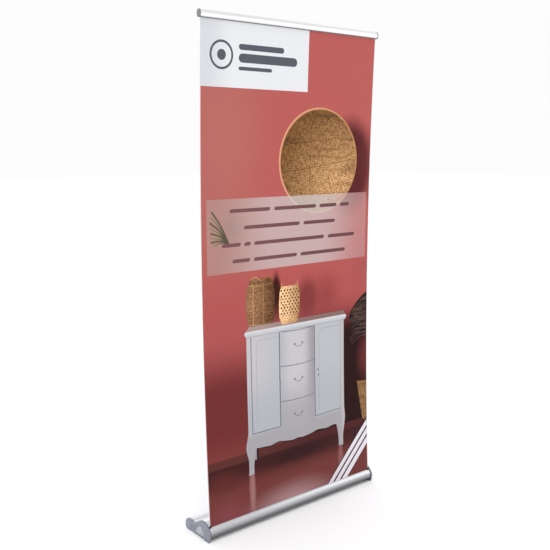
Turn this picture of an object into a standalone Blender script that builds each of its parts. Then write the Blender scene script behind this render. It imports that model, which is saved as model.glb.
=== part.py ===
"""Roll-up banner stand: a wide aluminium base cassette, a sprung roller, a printed sheet, a snap-open
top rail and a telescopic support pole.

Metres, +Z up. X runs along the cassette, the printed side faces -Y and the origin is on the floor under
the middle of the cassette. Side profiles are drawn as (y, z) with y counted from the plane of the sheet.
"""

import math

import bmesh
import bpy
from mathutils import Euler, Matrix, Vector, geometry

# Sheet
SHEET_WIDTH = 0.914
VISIBLE_HEIGHT = 2.000
SHEET_THICKNESS = 0.0004
SHEET_BOW = 0.026
BOW_STEPS = 20

# Clearances
GAP = 0.0003
RUNNING_GAP = 0.0004
END_MARGIN = 0.003

# Side profile of the cassette, measured from the plane of the sheet
NOSE_REACH = 0.018
BASE_DEPTH = 0.183
HUMP_BEHIND = 0.038
HUMP_HEIGHT = 0.078
NOSE_HEIGHT = 0.033
FOOT_SETBACK = 0.005
REAR_TOP_HEIGHT = 0.0505
VALLEY_HEIGHT = 0.0475
REAR_ROUND = 0.030
VALLEY_FROM_REAR = 0.061
REAR_FOOT_SETBACK = 0.010
CURVE_STEPS = 9

# Housing extrusion
WALL = 0.0022
CAP_LIP = 0.0025
HOUSING_FLOOR = 0.020
SLOT_WIDTH = 0.005
RIB_BEHIND = 0.063
BOSS_RADIUS = 0.0042
SCREW_RADIUS = 0.0018
SCREW_LENGTH = 0.016
SCREW_HEAD_RADIUS = 0.0038
SCREW_HEAD_HEIGHT = 0.0024

# End plates, end caps and feet
PLATE_THICKNESS = 0.0025
CAP_THICKNESS = 0.008
CAP_WALL = 0.003
CAP_EDGE_ROUND = 0.0018
RELIEF_DEPTH = 0.0012
RELIEF_FRONT = 0.0285
RELIEF_REAR = 0.076
RELIEF_FOOT = 0.014
RELIEF_CREST = 0.0484
PEG_RADIUS = 0.0025
FOOT_HEIGHT = 0.0025
FOOT_LENGTH = 0.030
FOOT_WIDTH = 0.0065

# Roller
ROLLER_RADIUS = 0.016
ROLLER_WALL = 0.0015
ROLLER_HEIGHT = 0.045
WRAPS_THICKNESS = 0.0009
AXLE_RADIUS = 0.004
AXLE_REACH = 0.345
AXLE_HEAD_SIDE = 0.010
PLUG_DEPTH = 0.020
PLUG_FLANGE = 0.0015
BUSH_WALL = 0.003
SPRING_WIRE = 0.0022
SPRING_TURNS = 26
SPRING_STEPS = 8
ANCHOR_LENGTH = 0.012

# Top rail
RAIL_HALF_DEPTH = 0.0105
RAIL_HALF_HEIGHT = 0.0145
RAIL_WALL = 0.0015
RAIL_CAP_THICKNESS = 0.005
RAIL_CAP_LIP = 0.001
RAIL_CAP_ROUND = 0.0012
RAIL_OVERHANG = 0.003
LAND_OFFSET = 0.0015
LAND_HEIGHT = 0.008
GRIP_THICKNESS = 0.0008
GRIP_SETBACK = 0.0012
SHEET_TUCK = 0.013
HINGE_BEAD = 0.003
HINGE_AHEAD = 0.0035
HINGE_BELOW_TOP = 0.0055
KNUCKLE_WALL = 0.0015
HANGER_REACH = 0.0185
HANGER_TOP = 0.0065
HANGER_BOTTOM = -0.0015

# Pole
SOCKET_FROM_REAR = VALLEY_FROM_REAR
SOCKET_FLOOR = 0.006
SOCKET_WALL = 0.003
SOCKET_BASE = 0.002
SOCKET_FLANGE = 0.006
FLANGE_THICKNESS = 0.002
SPOT_FACE = 0.0008
POLE_TOP_BEHIND = 0.035
TUBE_WALL = 0.0012
LOWER_TUBE_RADIUS = 0.011
TUBE_OVERLAP = 0.060
FOOT_PLUG_FLANGE = 0.003
FOOT_PLUG_LENGTH = 0.014
GLIDE_RIM = 0.006
GLIDE_LENGTH = 0.012
GLIDE_CLEARANCE = 0.00025
COLLAR_LENGTH = 0.044
COLLAR_WALL = 0.0030
COLLAR_SEAT = 0.018
COLLAR_EDGE = 0.001
GROOVE_DEPTH = 0.0008
BLADE_THICKNESS = 0.003
BLADE_FOOT = 0.010
HEAD_DEPTH = 0.022
HEAD_PLUG = 0.022
HEAD_CORNER = 0.004

ROUND = 28
SMALL_ROUND = 14

# What follows from them
SHEET_Y = NOSE_REACH - BASE_DEPTH / 2
REAR = BASE_DEPTH - NOSE_REACH
HOUSING_HALF = SHEET_WIDTH / 2 + END_MARGIN
PLATE_START = HOUSING_HALF + GAP
CAP_START = PLATE_START + PLATE_THICKNESS + GAP
ROLLER_HALF = SHEET_WIDTH / 2 + 0.3 * END_MARGIN
TUBE_BORE = ROLLER_RADIUS - ROLLER_WALL
FILM_RADIUS = ROLLER_RADIUS + GAP + WRAPS_THICKNESS
ROLLER_BEHIND = FILM_RADIUS + SHEET_THICKNESS + GAP + SLOT_WIDTH / 2
RAIL_HALF = SHEET_WIDTH / 2 + RAIL_OVERHANG
MIDDLE_TUBE_RADIUS = LOWER_TUBE_RADIUS - TUBE_WALL - RUNNING_GAP
UPPER_TUBE_RADIUS = MIDDLE_TUBE_RADIUS - TUBE_WALL - RUNNING_GAP
ALONG_X = Euler((math.pi / 2, 0, math.pi / 2))


def clear_scene():
    for obj in list(bpy.data.objects):
        bpy.data.objects.remove(obj)


def material(name, colour, roughness, metallic=0.0):
    made = bpy.data.materials.new(name)
    made.use_nodes = True
    shader = made.node_tree.nodes["Principled BSDF"]
    shader.inputs["Base Color"].default_value = (*colour, 1)
    shader.inputs["Roughness"].default_value = roughness
    shader.inputs["Metallic"].default_value = metallic
    return made


def add_object(name, bm, finish, parent=None):
    """One named object from a bmesh, shaded smooth where its faces nearly meet flat."""
    bmesh.ops.recalc_face_normals(bm, faces=bm.faces)
    mesh = bpy.data.meshes.new(name)
    bm.to_mesh(mesh)
    bm.free()
    mesh.materials.append(finish)
    mesh.shade_smooth()
    mesh.set_sharp_from_angle(angle=math.radians(35))
    obj = bpy.data.objects.new(name, mesh)
    bpy.context.scene.collection.objects.link(obj)
    obj.parent = parent
    return obj


def section(bm, loops, depth):
    """Fills loops of (x, y) points, holes included, and extrudes them from z = 0 to z = depth."""
    for loop in loops:
        corners = [bm.verts.new((x, y, 0)) for x, y in loop]
        for corner, following in zip(corners, corners[1:] + corners[:1]):
            bm.edges.new((corner, following))
    filled = bmesh.ops.triangle_fill(bm, use_beauty=True, edges=bm.edges[:])
    faces = [item for item in filled["geom"] if isinstance(item, bmesh.types.BMFace)]
    raised = bmesh.ops.extrude_face_region(bm, geom=faces, use_keep_orig=True)
    top = [item for item in raised["geom"] if isinstance(item, bmesh.types.BMVert)]
    bmesh.ops.translate(bm, vec=(0, 0, depth), verts=top)
    return top


def round_rim(bm, top, radius):
    """Rounds the outer rim of a section's far end."""
    bmesh.ops.recalc_face_normals(bm, faces=bm.faces)
    far = set(top)
    end_faces = [face for face in bm.faces if set(face.verts) <= far]
    joined = bmesh.ops.dissolve_faces(bm, faces=end_faces)["region"]
    rim = [edge for face in joined for edge in face.edges]
    bmesh.ops.bevel(bm, geom=rim, offset=radius, segments=3, profile=0.5, affect="EDGES")


def bar_along_x(name, loops, start, end, finish, parent=None, rim=0):
    """A piece of constant (y, z) section from x = start to x = end, with y counted from the sheet."""
    bm = bmesh.new()
    top = section(bm, loops, abs(end - start))
    if rim:
        round_rim(bm, top, rim)
    if end < start:
        bmesh.ops.scale(bm, vec=(1, 1, -1), verts=bm.verts)
    obj = add_object(name, bm, finish, parent)
    obj.rotation_euler = ALONG_X
    obj.location = (start, SHEET_Y, 0)
    return obj


def turned(name, profile, finish, parent=None, steps=ROUND, along_x=False, location=(0, 0, 0)):
    """A piece turned about its own Z axis from a closed profile of (radius, z) points."""
    bm = bmesh.new()
    on_axis = [radius < 1e-6 for radius, _ in profile]
    corners = [bm.verts.new((radius, 0, z)) for radius, z in profile]
    pairs = list(zip(range(len(profile)), [*range(1, len(profile)), 0]))
    edges = [
        bm.edges.new((corners[a], corners[b])) for a, b in pairs if not (on_axis[a] and on_axis[b])
    ]
    bmesh.ops.spin(
        bm, geom=corners + edges, cent=(0, 0, 0), axis=(0, 0, 1), angle=2 * math.pi, steps=steps
    )
    bmesh.ops.remove_doubles(bm, verts=bm.verts, dist=1e-6)
    obj = add_object(name, bm, finish, parent)
    if along_x:
        obj.rotation_euler = ALONG_X
    obj.location = location
    return obj


def ring(inner, outer, low, high):
    return [(inner, low), (outer, low), (outer, high), (inner, high)]


def rod(radius, low, high):
    return [(0, low), (radius, low), (radius, high), (0, high)]


def box(name, low, high, finish, parent=None):
    bm = bmesh.new()
    bmesh.ops.create_cube(bm, size=1)
    size = Vector(high) - Vector(low)
    bmesh.ops.scale(bm, vec=size, verts=bm.verts)
    bmesh.ops.translate(bm, vec=(Vector(high) + Vector(low)) / 2, verts=bm.verts)
    return add_object(name, bm, finish, parent)


def combine(obj, other, operation):
    """Cuts other from obj, or joins it on, and leaves other out of the model."""
    modifier = obj.modifiers.new(other.name, "BOOLEAN")
    modifier.operation = operation
    modifier.solver = "EXACT"
    modifier.object = other
    other.hide_render = True
    other.display_type = "WIRE"


def cut(obj, *cutters):
    for cutter in cutters:
        combine(obj, cutter, "DIFFERENCE")


def join(obj, *others):
    for other in others:
        combine(obj, other, "UNION")


# --- Side profiles -----------------------------------------------------------------------------------


def side_curve():
    """The outline of an end cap over the top, from its front foot to its rear foot."""
    valley = REAR - VALLEY_FROM_REAR
    rear_top = REAR - REAR_ROUND
    knots = [
        # knot, handle in, handle out
        ((FOOT_SETBACK - NOSE_REACH, 0), None, (0.8 * FOOT_SETBACK - NOSE_REACH, 0.25 * NOSE_HEIGHT)),
        (
            (-NOSE_REACH, NOSE_HEIGHT),
            (-NOSE_REACH, 0.55 * NOSE_HEIGHT),
            (-NOSE_REACH, 0.68 * NOSE_HEIGHT + 0.32 * HUMP_HEIGHT),
        ),
        (
            (HUMP_BEHIND, HUMP_HEIGHT),
            (0.38 * HUMP_BEHIND - 0.62 * NOSE_REACH * 0.6, HUMP_HEIGHT),
            (0.67 * HUMP_BEHIND + 0.33 * valley, HUMP_HEIGHT),
        ),
        (
            (valley, VALLEY_HEIGHT),
            (0.28 * HUMP_BEHIND + 0.72 * valley, VALLEY_HEIGHT),
            (0.6 * valley + 0.4 * rear_top, VALLEY_HEIGHT),
        ),
        (
            (rear_top, REAR_TOP_HEIGHT),
            (0.4 * valley + 0.6 * rear_top, REAR_TOP_HEIGHT),
            (rear_top + 0.56 * REAR_ROUND, REAR_TOP_HEIGHT),
        ),
        (
            (REAR, REAR_TOP_HEIGHT - REAR_ROUND),
            (REAR, REAR_TOP_HEIGHT - 0.42 * REAR_ROUND),
            (REAR, 0.45 * (REAR_TOP_HEIGHT - REAR_ROUND)),
        ),
        ((REAR - REAR_FOOT_SETBACK, 0), (REAR - 0.55 * REAR_FOOT_SETBACK, 0.001), None),
    ]
    points = []
    for (start, _, leave), (end, arrive, _) in zip(knots, knots[1:]):
        stretch = geometry.interpolate_bezier(start, leave, arrive, end, CURVE_STEPS)
        points += [tuple(point.xy) for point in stretch[:-1]]
    return [*points, knots[-1][0]]


def inset(points, distance):
    """An outline that runs front to rear over the top, moved inwards."""
    moved = []
    for i, (y, z) in enumerate(points):
        before, after = points[max(i - 1, 0)], points[min(i + 1, len(points) - 1)]
        along = Vector((after[0] - before[0], after[1] - before[1])).normalized()
        moved.append((y + distance * along.y, z - distance * along.x))
    return moved


def above(points, height):
    """The stretch of an outline over a given height, with its ends on that height."""
    kept = []
    for (y0, z0), (y1, z1) in zip(points, points[1:]):
        if z0 >= height:
            kept.append((y0, z0))
        if (z0 - height) * (z1 - height) < 0:
            share = (height - z0) / (z1 - z0)
            kept.append((y0 + share * (y1 - y0), height))
    if points[-1][1] >= height:
        kept.append(points[-1])
    return kept


def split_at(points, where):
    """An outline in two, where it first passes y = where on its way to the rear."""
    for i, ((y0, z0), (y1, z1)) in enumerate(zip(points, points[1:])):
        if y0 < where <= y1:
            share = (where - y0) / (y1 - y0)
            middle = (where, z0 + share * (z1 - z0))
            return points[: i + 1] + [middle], [middle] + points[i + 1 :]
    raise ValueError("the outline never reaches that depth")


def height_at(points, where):
    return split_at(points, where)[1][0][1]


def circle(y, z, radius, steps=SMALL_ROUND):
    turns = [2 * math.pi * i / steps for i in range(steps)]
    return [(y + radius * math.cos(t), z + radius * math.sin(t)) for t in turns]


def arc(y, z, radius, first, last, steps):
    """Points from one angle to another, in degrees, both included."""
    angles = [math.radians(first + (last - first) * i / steps) for i in range(steps + 1)]
    return [(y + radius * math.cos(t), z + radius * math.sin(t)) for t in angles]


def oval(half_depth, half_height, first, last, steps):
    """Points on the rail's oval from one angle to another, in degrees, both included."""
    angles = [math.radians(first + (last - first) * i / steps) for i in range(steps + 1)]
    return [(half_depth * math.cos(t), RAIL_Z + half_height * math.sin(t)) for t in angles]


OUTER = above(inset(side_curve(), CAP_LIP), HOUSING_FLOOR)
INNER = above(inset(side_curve(), CAP_LIP + WALL), HOUSING_FLOOR + WALL)
SLOT_TOP = height_at(OUTER, 0)
RAIL_Z = SLOT_TOP + VISIBLE_HEIGHT + RAIL_HALF_HEIGHT
VALLEY_BEHIND = REAR - SOCKET_FROM_REAR


def screw_places():
    """Where the three end screws go, as (y, z)."""
    corner = HOUSING_FLOOR + WALL + 0.8 * BOSS_RADIUS
    return [
        (INNER[0][0] + 1.1 * BOSS_RADIUS, corner),
        (RIB_BEHIND + WALL / 2 + 0.7 * BOSS_RADIUS, height_at(INNER, RIB_BEHIND) - 2 * BOSS_RADIUS),
        (INNER[-1][0] - 0.9 * BOSS_RADIUS, corner),
    ]


def peg_places():
    """Where the pegs of an end cap enter its end plate, as (y, z)."""
    level = HOUSING_FLOOR + 4 * PEG_RADIUS
    return [(RIB_BEHIND + 0.25 * (REAR - RIB_BEHIND), level), (REAR - 0.8 * REAR_ROUND, level)]


# --- Cassette ----------------------------------------------------------------------------------------


def make_housing(finish):
    """The aluminium extrusion: a roller chamber open at the sheet's slot, and a closed rear chamber."""
    half_slot = SLOT_WIDTH / 2
    front_outer, _ = split_at(OUTER, -half_slot)
    _, rear_outer = split_at(OUTER, half_slot)
    front_inner, _ = split_at(INNER, -half_slot)
    _, top_inner = split_at(INNER, half_slot)
    over_roller, _ = split_at(top_inner, RIB_BEHIND - WALL / 2)
    _, over_rear = split_at(INNER, RIB_BEHIND + WALL / 2)
    floor = HOUSING_FLOOR + WALL
    shell = (
        front_outer
        + front_inner[::-1]
        + [(RIB_BEHIND - WALL / 2, floor)]
        + over_roller[::-1]
        + rear_outer
    )
    rear_chamber = over_rear + [(RIB_BEHIND + WALL / 2, floor)]
    housing = bar_along_x("housing", [shell, rear_chamber], -HOUSING_HALF, HOUSING_HALF, finish)
    hole, seat = SOCKET_RADIUS + GAP, SOCKET_RADIUS + SOCKET_FLANGE + GAP
    stepped = [
        (0, -SOCKET_FLOOR),
        (hole, -SOCKET_FLOOR),
        (hole, SOCKET_SEAT),
        (seat, SOCKET_SEAT),
        (seat, 2 * HUMP_HEIGHT),
        (0, 2 * HUMP_HEIGHT),
    ]
    cut(housing, turned("socket_hole", stepped, finish, pole_frame("socket_hole_frame", 0)))
    for i, (y, z) in enumerate(screw_places()):
        boss = circle(y, z, BOSS_RADIUS)
        port = circle(y, z, SCREW_RADIUS + GAP)
        join(housing, bar_along_x(f"boss_{i}", [boss], -HOUSING_HALF, HOUSING_HALF, finish))
        over = HOUSING_HALF + WALL
        cut(housing, bar_along_x(f"port_{i}", [port], -over, over, finish))
    return housing


def make_end_plate(name, side, finish):
    """A moulded plate screwed across the end of the extrusion. It carries the roller."""
    start, end = side * PLATE_START, side * (PLATE_START + PLATE_THICKNESS)
    holes = [circle(y, z, SCREW_RADIUS + 2 * GAP) for y, z in screw_places()]
    holes += [circle(y, z, PEG_RADIUS + GAP) for y, z in peg_places()]
    if side < 0:
        reach = AXLE_HEAD_SIDE / 2 + GAP
        middle_y, middle_z = ROLLER_BEHIND, ROLLER_HEIGHT
        corners = [(-reach, -reach), (reach, -reach), (reach, reach), (-reach, reach)]
        holes.append([(middle_y + y, middle_z + z) for y, z in corners])
    else:
        holes.append(circle(ROLLER_BEHIND, ROLLER_HEIGHT, BUSH_RADIUS + GAP, ROUND))
    return bar_along_x(name, [OUTER, *holes], start, end, finish)


def relief_outline():
    """The kidney-shaped panel sunk into the outer face of an end cap."""
    low, crest = RELIEF_FOOT, RELIEF_CREST
    front, rear = RELIEF_FRONT, RELIEF_REAR
    rise, across = crest - low, rear - front
    top = (front + 0.48 * across, crest)
    up = ((front, low), (front - 0.001, low + 0.5 * rise), (front + 0.13 * across, crest), top)
    down = (top, (front + 0.83 * across, crest), (rear - 0.002, low + 0.55 * rise), (rear + 0.010, low))
    rising = geometry.interpolate_bezier(*up, CURVE_STEPS)
    falling = geometry.interpolate_bezier(*down, CURVE_STEPS)
    return [tuple(point.xy) for point in rising[:-1] + falling]


def make_end_cap(name, side, finish):
    """The plated shell that clips over an end plate and stands on the floor through its feet."""
    start, end = side * CAP_START, side * (CAP_START + CAP_THICKNESS)
    outline = above(side_curve(), FOOT_HEIGHT)
    cap = bar_along_x(name, [outline], start, end, finish, rim=CAP_EDGE_ROUND)
    hollow = above(inset(side_curve(), CAP_WALL), FOOT_HEIGHT + CAP_WALL)
    inner = side * (CAP_START + CAP_THICKNESS - CAP_WALL)
    cut(cap, bar_along_x(name + "_hollow", [hollow], side * (CAP_START - WALL), inner, finish))
    sunk = side * (CAP_START + CAP_THICKNESS - RELIEF_DEPTH)
    over = side * (CAP_START + 2 * CAP_THICKNESS)
    cut(cap, bar_along_x(name + "_relief", [relief_outline()], sunk, over, finish))
    for i, (y, z) in enumerate(peg_places()):
        root = side * (CAP_START + CAP_THICKNESS - 0.6 * CAP_WALL)
        tip = side * (PLATE_START + GAP)
        peg = bar_along_x(f"{name}_peg_{i}", [circle(y, z, PEG_RADIUS)], tip, root, finish)
        join(cap, peg)
    return cap


def make_feet(finish):
    middle = CAP_START + CAP_THICKNESS / 2
    front = SHEET_Y + above(side_curve(), FOOT_HEIGHT)[0][0] + CAP_WALL
    rear = SHEET_Y + above(side_curve(), FOOT_HEIGHT)[-1][0] - CAP_WALL
    for side, side_name in ((-1, "left"), (1, "right")):
        for start, place in ((front, "front"), (rear - FOOT_LENGTH, "rear")):
            x = side * middle
            low = (x - FOOT_WIDTH / 2, start, 0)
            high = (x + FOOT_WIDTH / 2, start + FOOT_LENGTH, FOOT_HEIGHT - GAP)
            box(f"{side_name}_{place}_foot", low, high, finish)


def make_screws(finish):
    """Three pan-head screws through each end plate into the ports of the extrusion."""
    head = SCREW_HEAD_HEIGHT
    profile = [
        (0, -SCREW_LENGTH),
        (SCREW_RADIUS, 0.0015 - SCREW_LENGTH),
        (SCREW_RADIUS, 0),
        (SCREW_HEAD_RADIUS, 0),
        (SCREW_HEAD_RADIUS, 0.45 * head),
        (0.7 * SCREW_HEAD_RADIUS, head),
        (0, head),
    ]
    seat = PLATE_START + PLATE_THICKNESS + GAP
    for side, side_name in ((-1, "left"), (1, "right")):
        for (y, z), place in zip(screw_places(), ("front", "middle", "rear")):
            where = (side * seat, SHEET_Y + y, z)
            name = f"{side_name}_{place}_screw"
            screw = turned(name, profile, finish, None, SMALL_ROUND, True, where)
            if side < 0:
                screw.rotation_euler = Euler((math.pi / 2, 0, -math.pi / 2))


# --- Roller ------------------------------------------------------------------------------------------


def on_roller(name, profile, finish, steps=ROUND):
    """A turned piece on the roller's axis. Its profile's z is the row's x."""
    centre = (0, SHEET_Y + ROLLER_BEHIND, ROLLER_HEIGHT)
    return turned(name, profile, finish, None, steps, True, centre)


def make_roller(alloy, nylon, steel, film):
    bore, plug = TUBE_BORE, TUBE_BORE - GAP
    on_roller("roller_tube", ring(bore, ROLLER_RADIUS, -ROLLER_HALF, ROLLER_HALF), alloy)
    wraps = ring(ROLLER_RADIUS + GAP, FILM_RADIUS, -SHEET_WIDTH / 2, SHEET_WIDTH / 2)
    on_roller("leader_wraps", wraps, film)

    flange_start = -ROLLER_HALF - GAP
    axle_bore = AXLE_RADIUS + GAP
    left_plug = [
        (axle_bore, flange_start - PLUG_FLANGE),
        (ROLLER_RADIUS, flange_start - PLUG_FLANGE),
        (ROLLER_RADIUS, flange_start),
        (plug, flange_start),
        (plug, PLUG_DEPTH - ROLLER_HALF),
        (axle_bore, PLUG_DEPTH - ROLLER_HALF),
    ]
    on_roller("left_roller_plug", left_plug, nylon)
    stub = BUSH_RADIUS - BUSH_WALL - GAP
    stub_end = PLATE_START + PLATE_THICKNESS + 2 * GAP
    right_plug = [
        (0, ROLLER_HALF - PLUG_DEPTH),
        (plug, ROLLER_HALF - PLUG_DEPTH),
        (plug, -flange_start),
        (ROLLER_RADIUS, -flange_start),
        (ROLLER_RADIUS, PLUG_FLANGE - flange_start),
        (stub, PLUG_FLANGE - flange_start),
        (stub, stub_end),
        (0, stub_end),
    ]
    on_roller("right_roller_plug", right_plug, nylon)
    bush_start = PLUG_FLANGE - flange_start + GAP
    bush = ring(BUSH_RADIUS - BUSH_WALL, BUSH_RADIUS, bush_start, stub_end)
    on_roller("right_bearing_bush", bush, nylon)

    axle_end = AXLE_REACH - ROLLER_HALF
    on_roller("spring_axle", rod(AXLE_RADIUS, GAP - PLATE_START, axle_end), steel, SMALL_ROUND)
    make_axle_head(steel)
    anchor_start = axle_end - 2 * ANCHOR_LENGTH
    anchor = ring(axle_bore, 0.75 * TUBE_BORE, anchor_start, anchor_start + ANCHOR_LENGTH)
    on_roller("spring_anchor", anchor, steel, SMALL_ROUND)
    support_start = axle_end - 0.5 * ANCHOR_LENGTH
    support = [
        (0, axle_end + GAP + BUSH_WALL),
        (0, axle_end + GAP),
        (axle_bore, axle_end + GAP),
        (axle_bore, support_start),
        (plug, support_start),
        (plug, axle_end + GAP + BUSH_WALL),
    ]
    on_roller("axle_support", support, nylon)
    make_spring(steel, PLUG_DEPTH - ROLLER_HALF + GAP, anchor_start - GAP)


def make_axle_head(steel):
    """The square head that keys the still axle into the left end plate, joined onto the axle."""
    half = AXLE_HEAD_SIDE / 2
    corners = [(-half, -half), (half, -half), (half, half), (-half, half)]
    outline = [(ROLLER_BEHIND + y, ROLLER_HEIGHT + z) for y, z in corners]
    outer = -(PLATE_START + PLATE_THICKNESS + GAP)
    head = bar_along_x("axle_head", [outline], outer, -PLATE_START + GAP, steel)
    axle = bpy.data.objects["spring_axle"]
    join(axle, head)


def make_spring(steel, start, end):
    """The torsion spring round the axle, between the turning plug and the still anchor."""
    curve = bpy.data.curves.new("torsion_spring", "CURVE")
    curve.dimensions = "3D"
    curve.bevel_depth = SPRING_WIRE / 2
    curve.bevel_resolution = 0
    curve.use_fill_caps = True
    curve.materials.append(steel)
    mean = (AXLE_RADIUS + TUBE_BORE) / 2
    count = SPRING_TURNS * SPRING_STEPS
    low, high = start + 0.7 * SPRING_WIRE, end - 0.7 * SPRING_WIRE
    spline = curve.splines.new("POLY")
    spline.points.add(count)
    for i, point in enumerate(spline.points):
        turn = 2 * math.pi * i / SPRING_STEPS
        x = low + (high - low) * i / count
        point.co = (x, mean * math.cos(turn), mean * math.sin(turn), 1)
    spring = bpy.data.objects.new("torsion_spring", curve)
    bpy.context.scene.collection.objects.link(spring)
    spring.location = (0, SHEET_Y + ROLLER_BEHIND, ROLLER_HEIGHT)


# --- Sheet -------------------------------------------------------------------------------------------


def make_sheet(finish):
    """The printed sheet from the roller through the slot to the rail, with its slight backward bow."""
    middle = [(ROLLER_BEHIND - FILM_RADIUS - GAP - SHEET_THICKNESS / 2, ROLLER_HEIGHT)]
    for i in range(BOW_STEPS + 1):
        share = i / BOW_STEPS
        bow = SHEET_BOW * 4 * share * (1 - share)
        middle.append((bow, SLOT_TOP + share * VISIBLE_HEIGHT))
    middle.append((0, SLOT_TOP + VISIBLE_HEIGHT + SHEET_TUCK))
    half = SHEET_THICKNESS / 2
    outline = [(y - half, z) for y, z in middle] + [(y + half, z) for y, z in middle[::-1]]
    bar_along_x("banner_sheet", [outline], -SHEET_WIDTH / 2, SHEET_WIDTH / 2, finish)


# --- Top rail ----------------------------------------------------------------------------------------


def on_oval(half_depth, half_height, height):
    """How far the oval reaches from the sheet at a height over the rail's middle."""
    return half_depth * math.sqrt(1 - (height / half_height) ** 2)


def angle_at(half_height, height):
    """The angle, in degrees, where the rear of the oval passes a height over the rail's middle."""
    return math.degrees(math.asin(height / half_height))


def hang_on(name, location, *objs):
    """Parents pieces to an empty on their joint's axis, where they already are."""
    empty = bpy.data.objects.new(name, None)
    bpy.context.scene.collection.objects.link(empty)
    empty.location = location
    bpy.context.view_layer.update()
    for obj in objs:
        obj.parent = empty
        obj.matrix_parent_inverse = empty.matrix_world.inverted()


def make_rail(alloy, plastic, grip):
    depth, height = RAIL_HALF_DEPTH, RAIL_HALF_HEIGHT
    in_depth, in_height = depth - RAIL_WALL, height - RAIL_WALL
    hinge_y, hinge_z = -HINGE_AHEAD, RAIL_Z + height - HINGE_BELOW_TOP
    knuckle_in = HINGE_BEAD + GAP
    knuckle_out = knuckle_in + KNUCKLE_WALL
    foot_angle = math.degrees(math.acos(LAND_OFFSET / depth))
    land_top = RAIL_Z - height + LAND_HEIGHT
    land_back = LAND_OFFSET + RAIL_WALL
    land_angle = math.degrees(math.acos(land_back / in_depth))
    web_high, web_low = 0.34 * height, 0.24 * height
    ceiling = HANGER_TOP - RAIL_WALL

    rear_body = (
        oval(depth, height, -foot_angle, angle_at(height, ceiling), 12)
        + [
            (HANGER_REACH - RAIL_WALL, RAIL_Z + ceiling),
            (HANGER_REACH - RAIL_WALL, RAIL_Z + HANGER_BOTTOM),
            (HANGER_REACH, RAIL_Z + HANGER_BOTTOM),
            (HANGER_REACH, RAIL_Z + HANGER_TOP),
        ]
        + oval(depth, height, angle_at(height, HANGER_TOP), 100, 8)
        + oval(in_depth, in_height, 89, angle_at(in_height, web_high), 6)
        + arc(hinge_y, hinge_z, HINGE_BEAD, -40, 288, 16)
        + oval(in_depth, in_height, angle_at(in_height, web_low), -land_angle, 10)
        + [(land_back, land_top), (LAND_OFFSET, land_top)]
    )
    front_jaw = (
        arc(hinge_y, hinge_z, knuckle_out, 60, 180, 8)
        + oval(depth, height, 180 - angle_at(height, 0.55 * height), 180 + foot_angle, 12)
        + [(-LAND_OFFSET, land_top), (-land_back, land_top)]
        + oval(in_depth, in_height, 180 + land_angle, 180 - angle_at(in_height, 0.36 * height), 10)
        + arc(hinge_y, hinge_z, knuckle_out, 245, 265, 2)
        + arc(hinge_y, hinge_z, knuckle_in, 265, 60, 12)
    )
    on_rail = [bar_along_x("rail_rear_body", [rear_body], -RAIL_HALF, RAIL_HALF, alloy)]
    on_jaw = [bar_along_x("rail_front_jaw", [front_jaw], -RAIL_HALF, RAIL_HALF, alloy)]

    near = SHEET_THICKNESS / 2 + GAP
    low = RAIL_Z - height + GRIP_SETBACK
    for name, sign in (("rear_grip_strip", 1), ("front_grip_strip", -1)):
        y = sorted((sign * near, sign * (near + GRIP_THICKNESS)))
        strip = [(y[0], low), (y[1], low), (y[1], land_top), (y[0], land_top)]
        made = bar_along_x(name, [strip], -SHEET_WIDTH / 2, SHEET_WIDTH / 2, grip)
        (on_rail if sign > 0 else on_jaw).append(made)

    rim = oval(depth + RAIL_CAP_LIP, height + RAIL_CAP_LIP, 0, 360, 32)[:-1]
    spigot = circle(0.5 * in_depth, RAIL_Z - 0.25 * height, 0.2 * in_depth)
    for side, name in ((-1, "rail_left_cap"), (1, "rail_right_cap")):
        start = side * (RAIL_HALF + GAP)
        end = start + side * RAIL_CAP_THICKNESS
        cap = bar_along_x(name, [rim], start, end, plastic, rim=RAIL_CAP_ROUND)
        root = start + side * 0.5 * RAIL_CAP_THICKNESS
        tip = start - side * 2 * RAIL_CAP_THICKNESS
        join(cap, bar_along_x(name + "_spigot", [spigot], tip, root, plastic))
        on_rail.append(cap)
    hang_on("rail_frame", (0, SHEET_Y, RAIL_Z), *on_rail)
    hang_on("jaw_hinge", (0, SHEET_Y + hinge_y, hinge_z), *on_jaw)


# --- Pole --------------------------------------------------------------------------------------------

SOCKET_RADIUS = LOWER_TUBE_RADIUS + GAP + SOCKET_WALL
BUSH_RADIUS = AXLE_RADIUS + GAP + BUSH_WALL
POLE_TOP_Z = RAIL_Z - HEAD_DEPTH
LEAN = math.atan2(VALLEY_BEHIND - POLE_TOP_BEHIND, POLE_TOP_Z - VALLEY_HEIGHT)
SOCKET_BEHIND = VALLEY_BEHIND + (VALLEY_HEIGHT - SOCKET_FLOOR) * math.tan(LEAN)
SOCKET_SEAT = (VALLEY_HEIGHT - CAP_LIP - SPOT_FACE - SOCKET_FLOOR) / math.cos(LEAN)
POLE_LENGTH = (POLE_TOP_Z - SOCKET_FLOOR) / math.cos(LEAN)
SECTION_RISE = (POLE_LENGTH - SOCKET_BASE) / 3


def pole_frame(name, height):
    """An empty on the pole's axis, height above the socket's underside along that axis."""
    frame = bpy.data.objects.new(name, None)
    bpy.context.scene.collection.objects.link(frame)
    base = Vector((0, SHEET_Y + SOCKET_BEHIND, SOCKET_FLOOR))
    turn = Matrix.Rotation(LEAN, 4, "X")
    frame.matrix_world = Matrix.Translation(base + turn @ Vector((0, 0, height))) @ turn
    return frame


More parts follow.
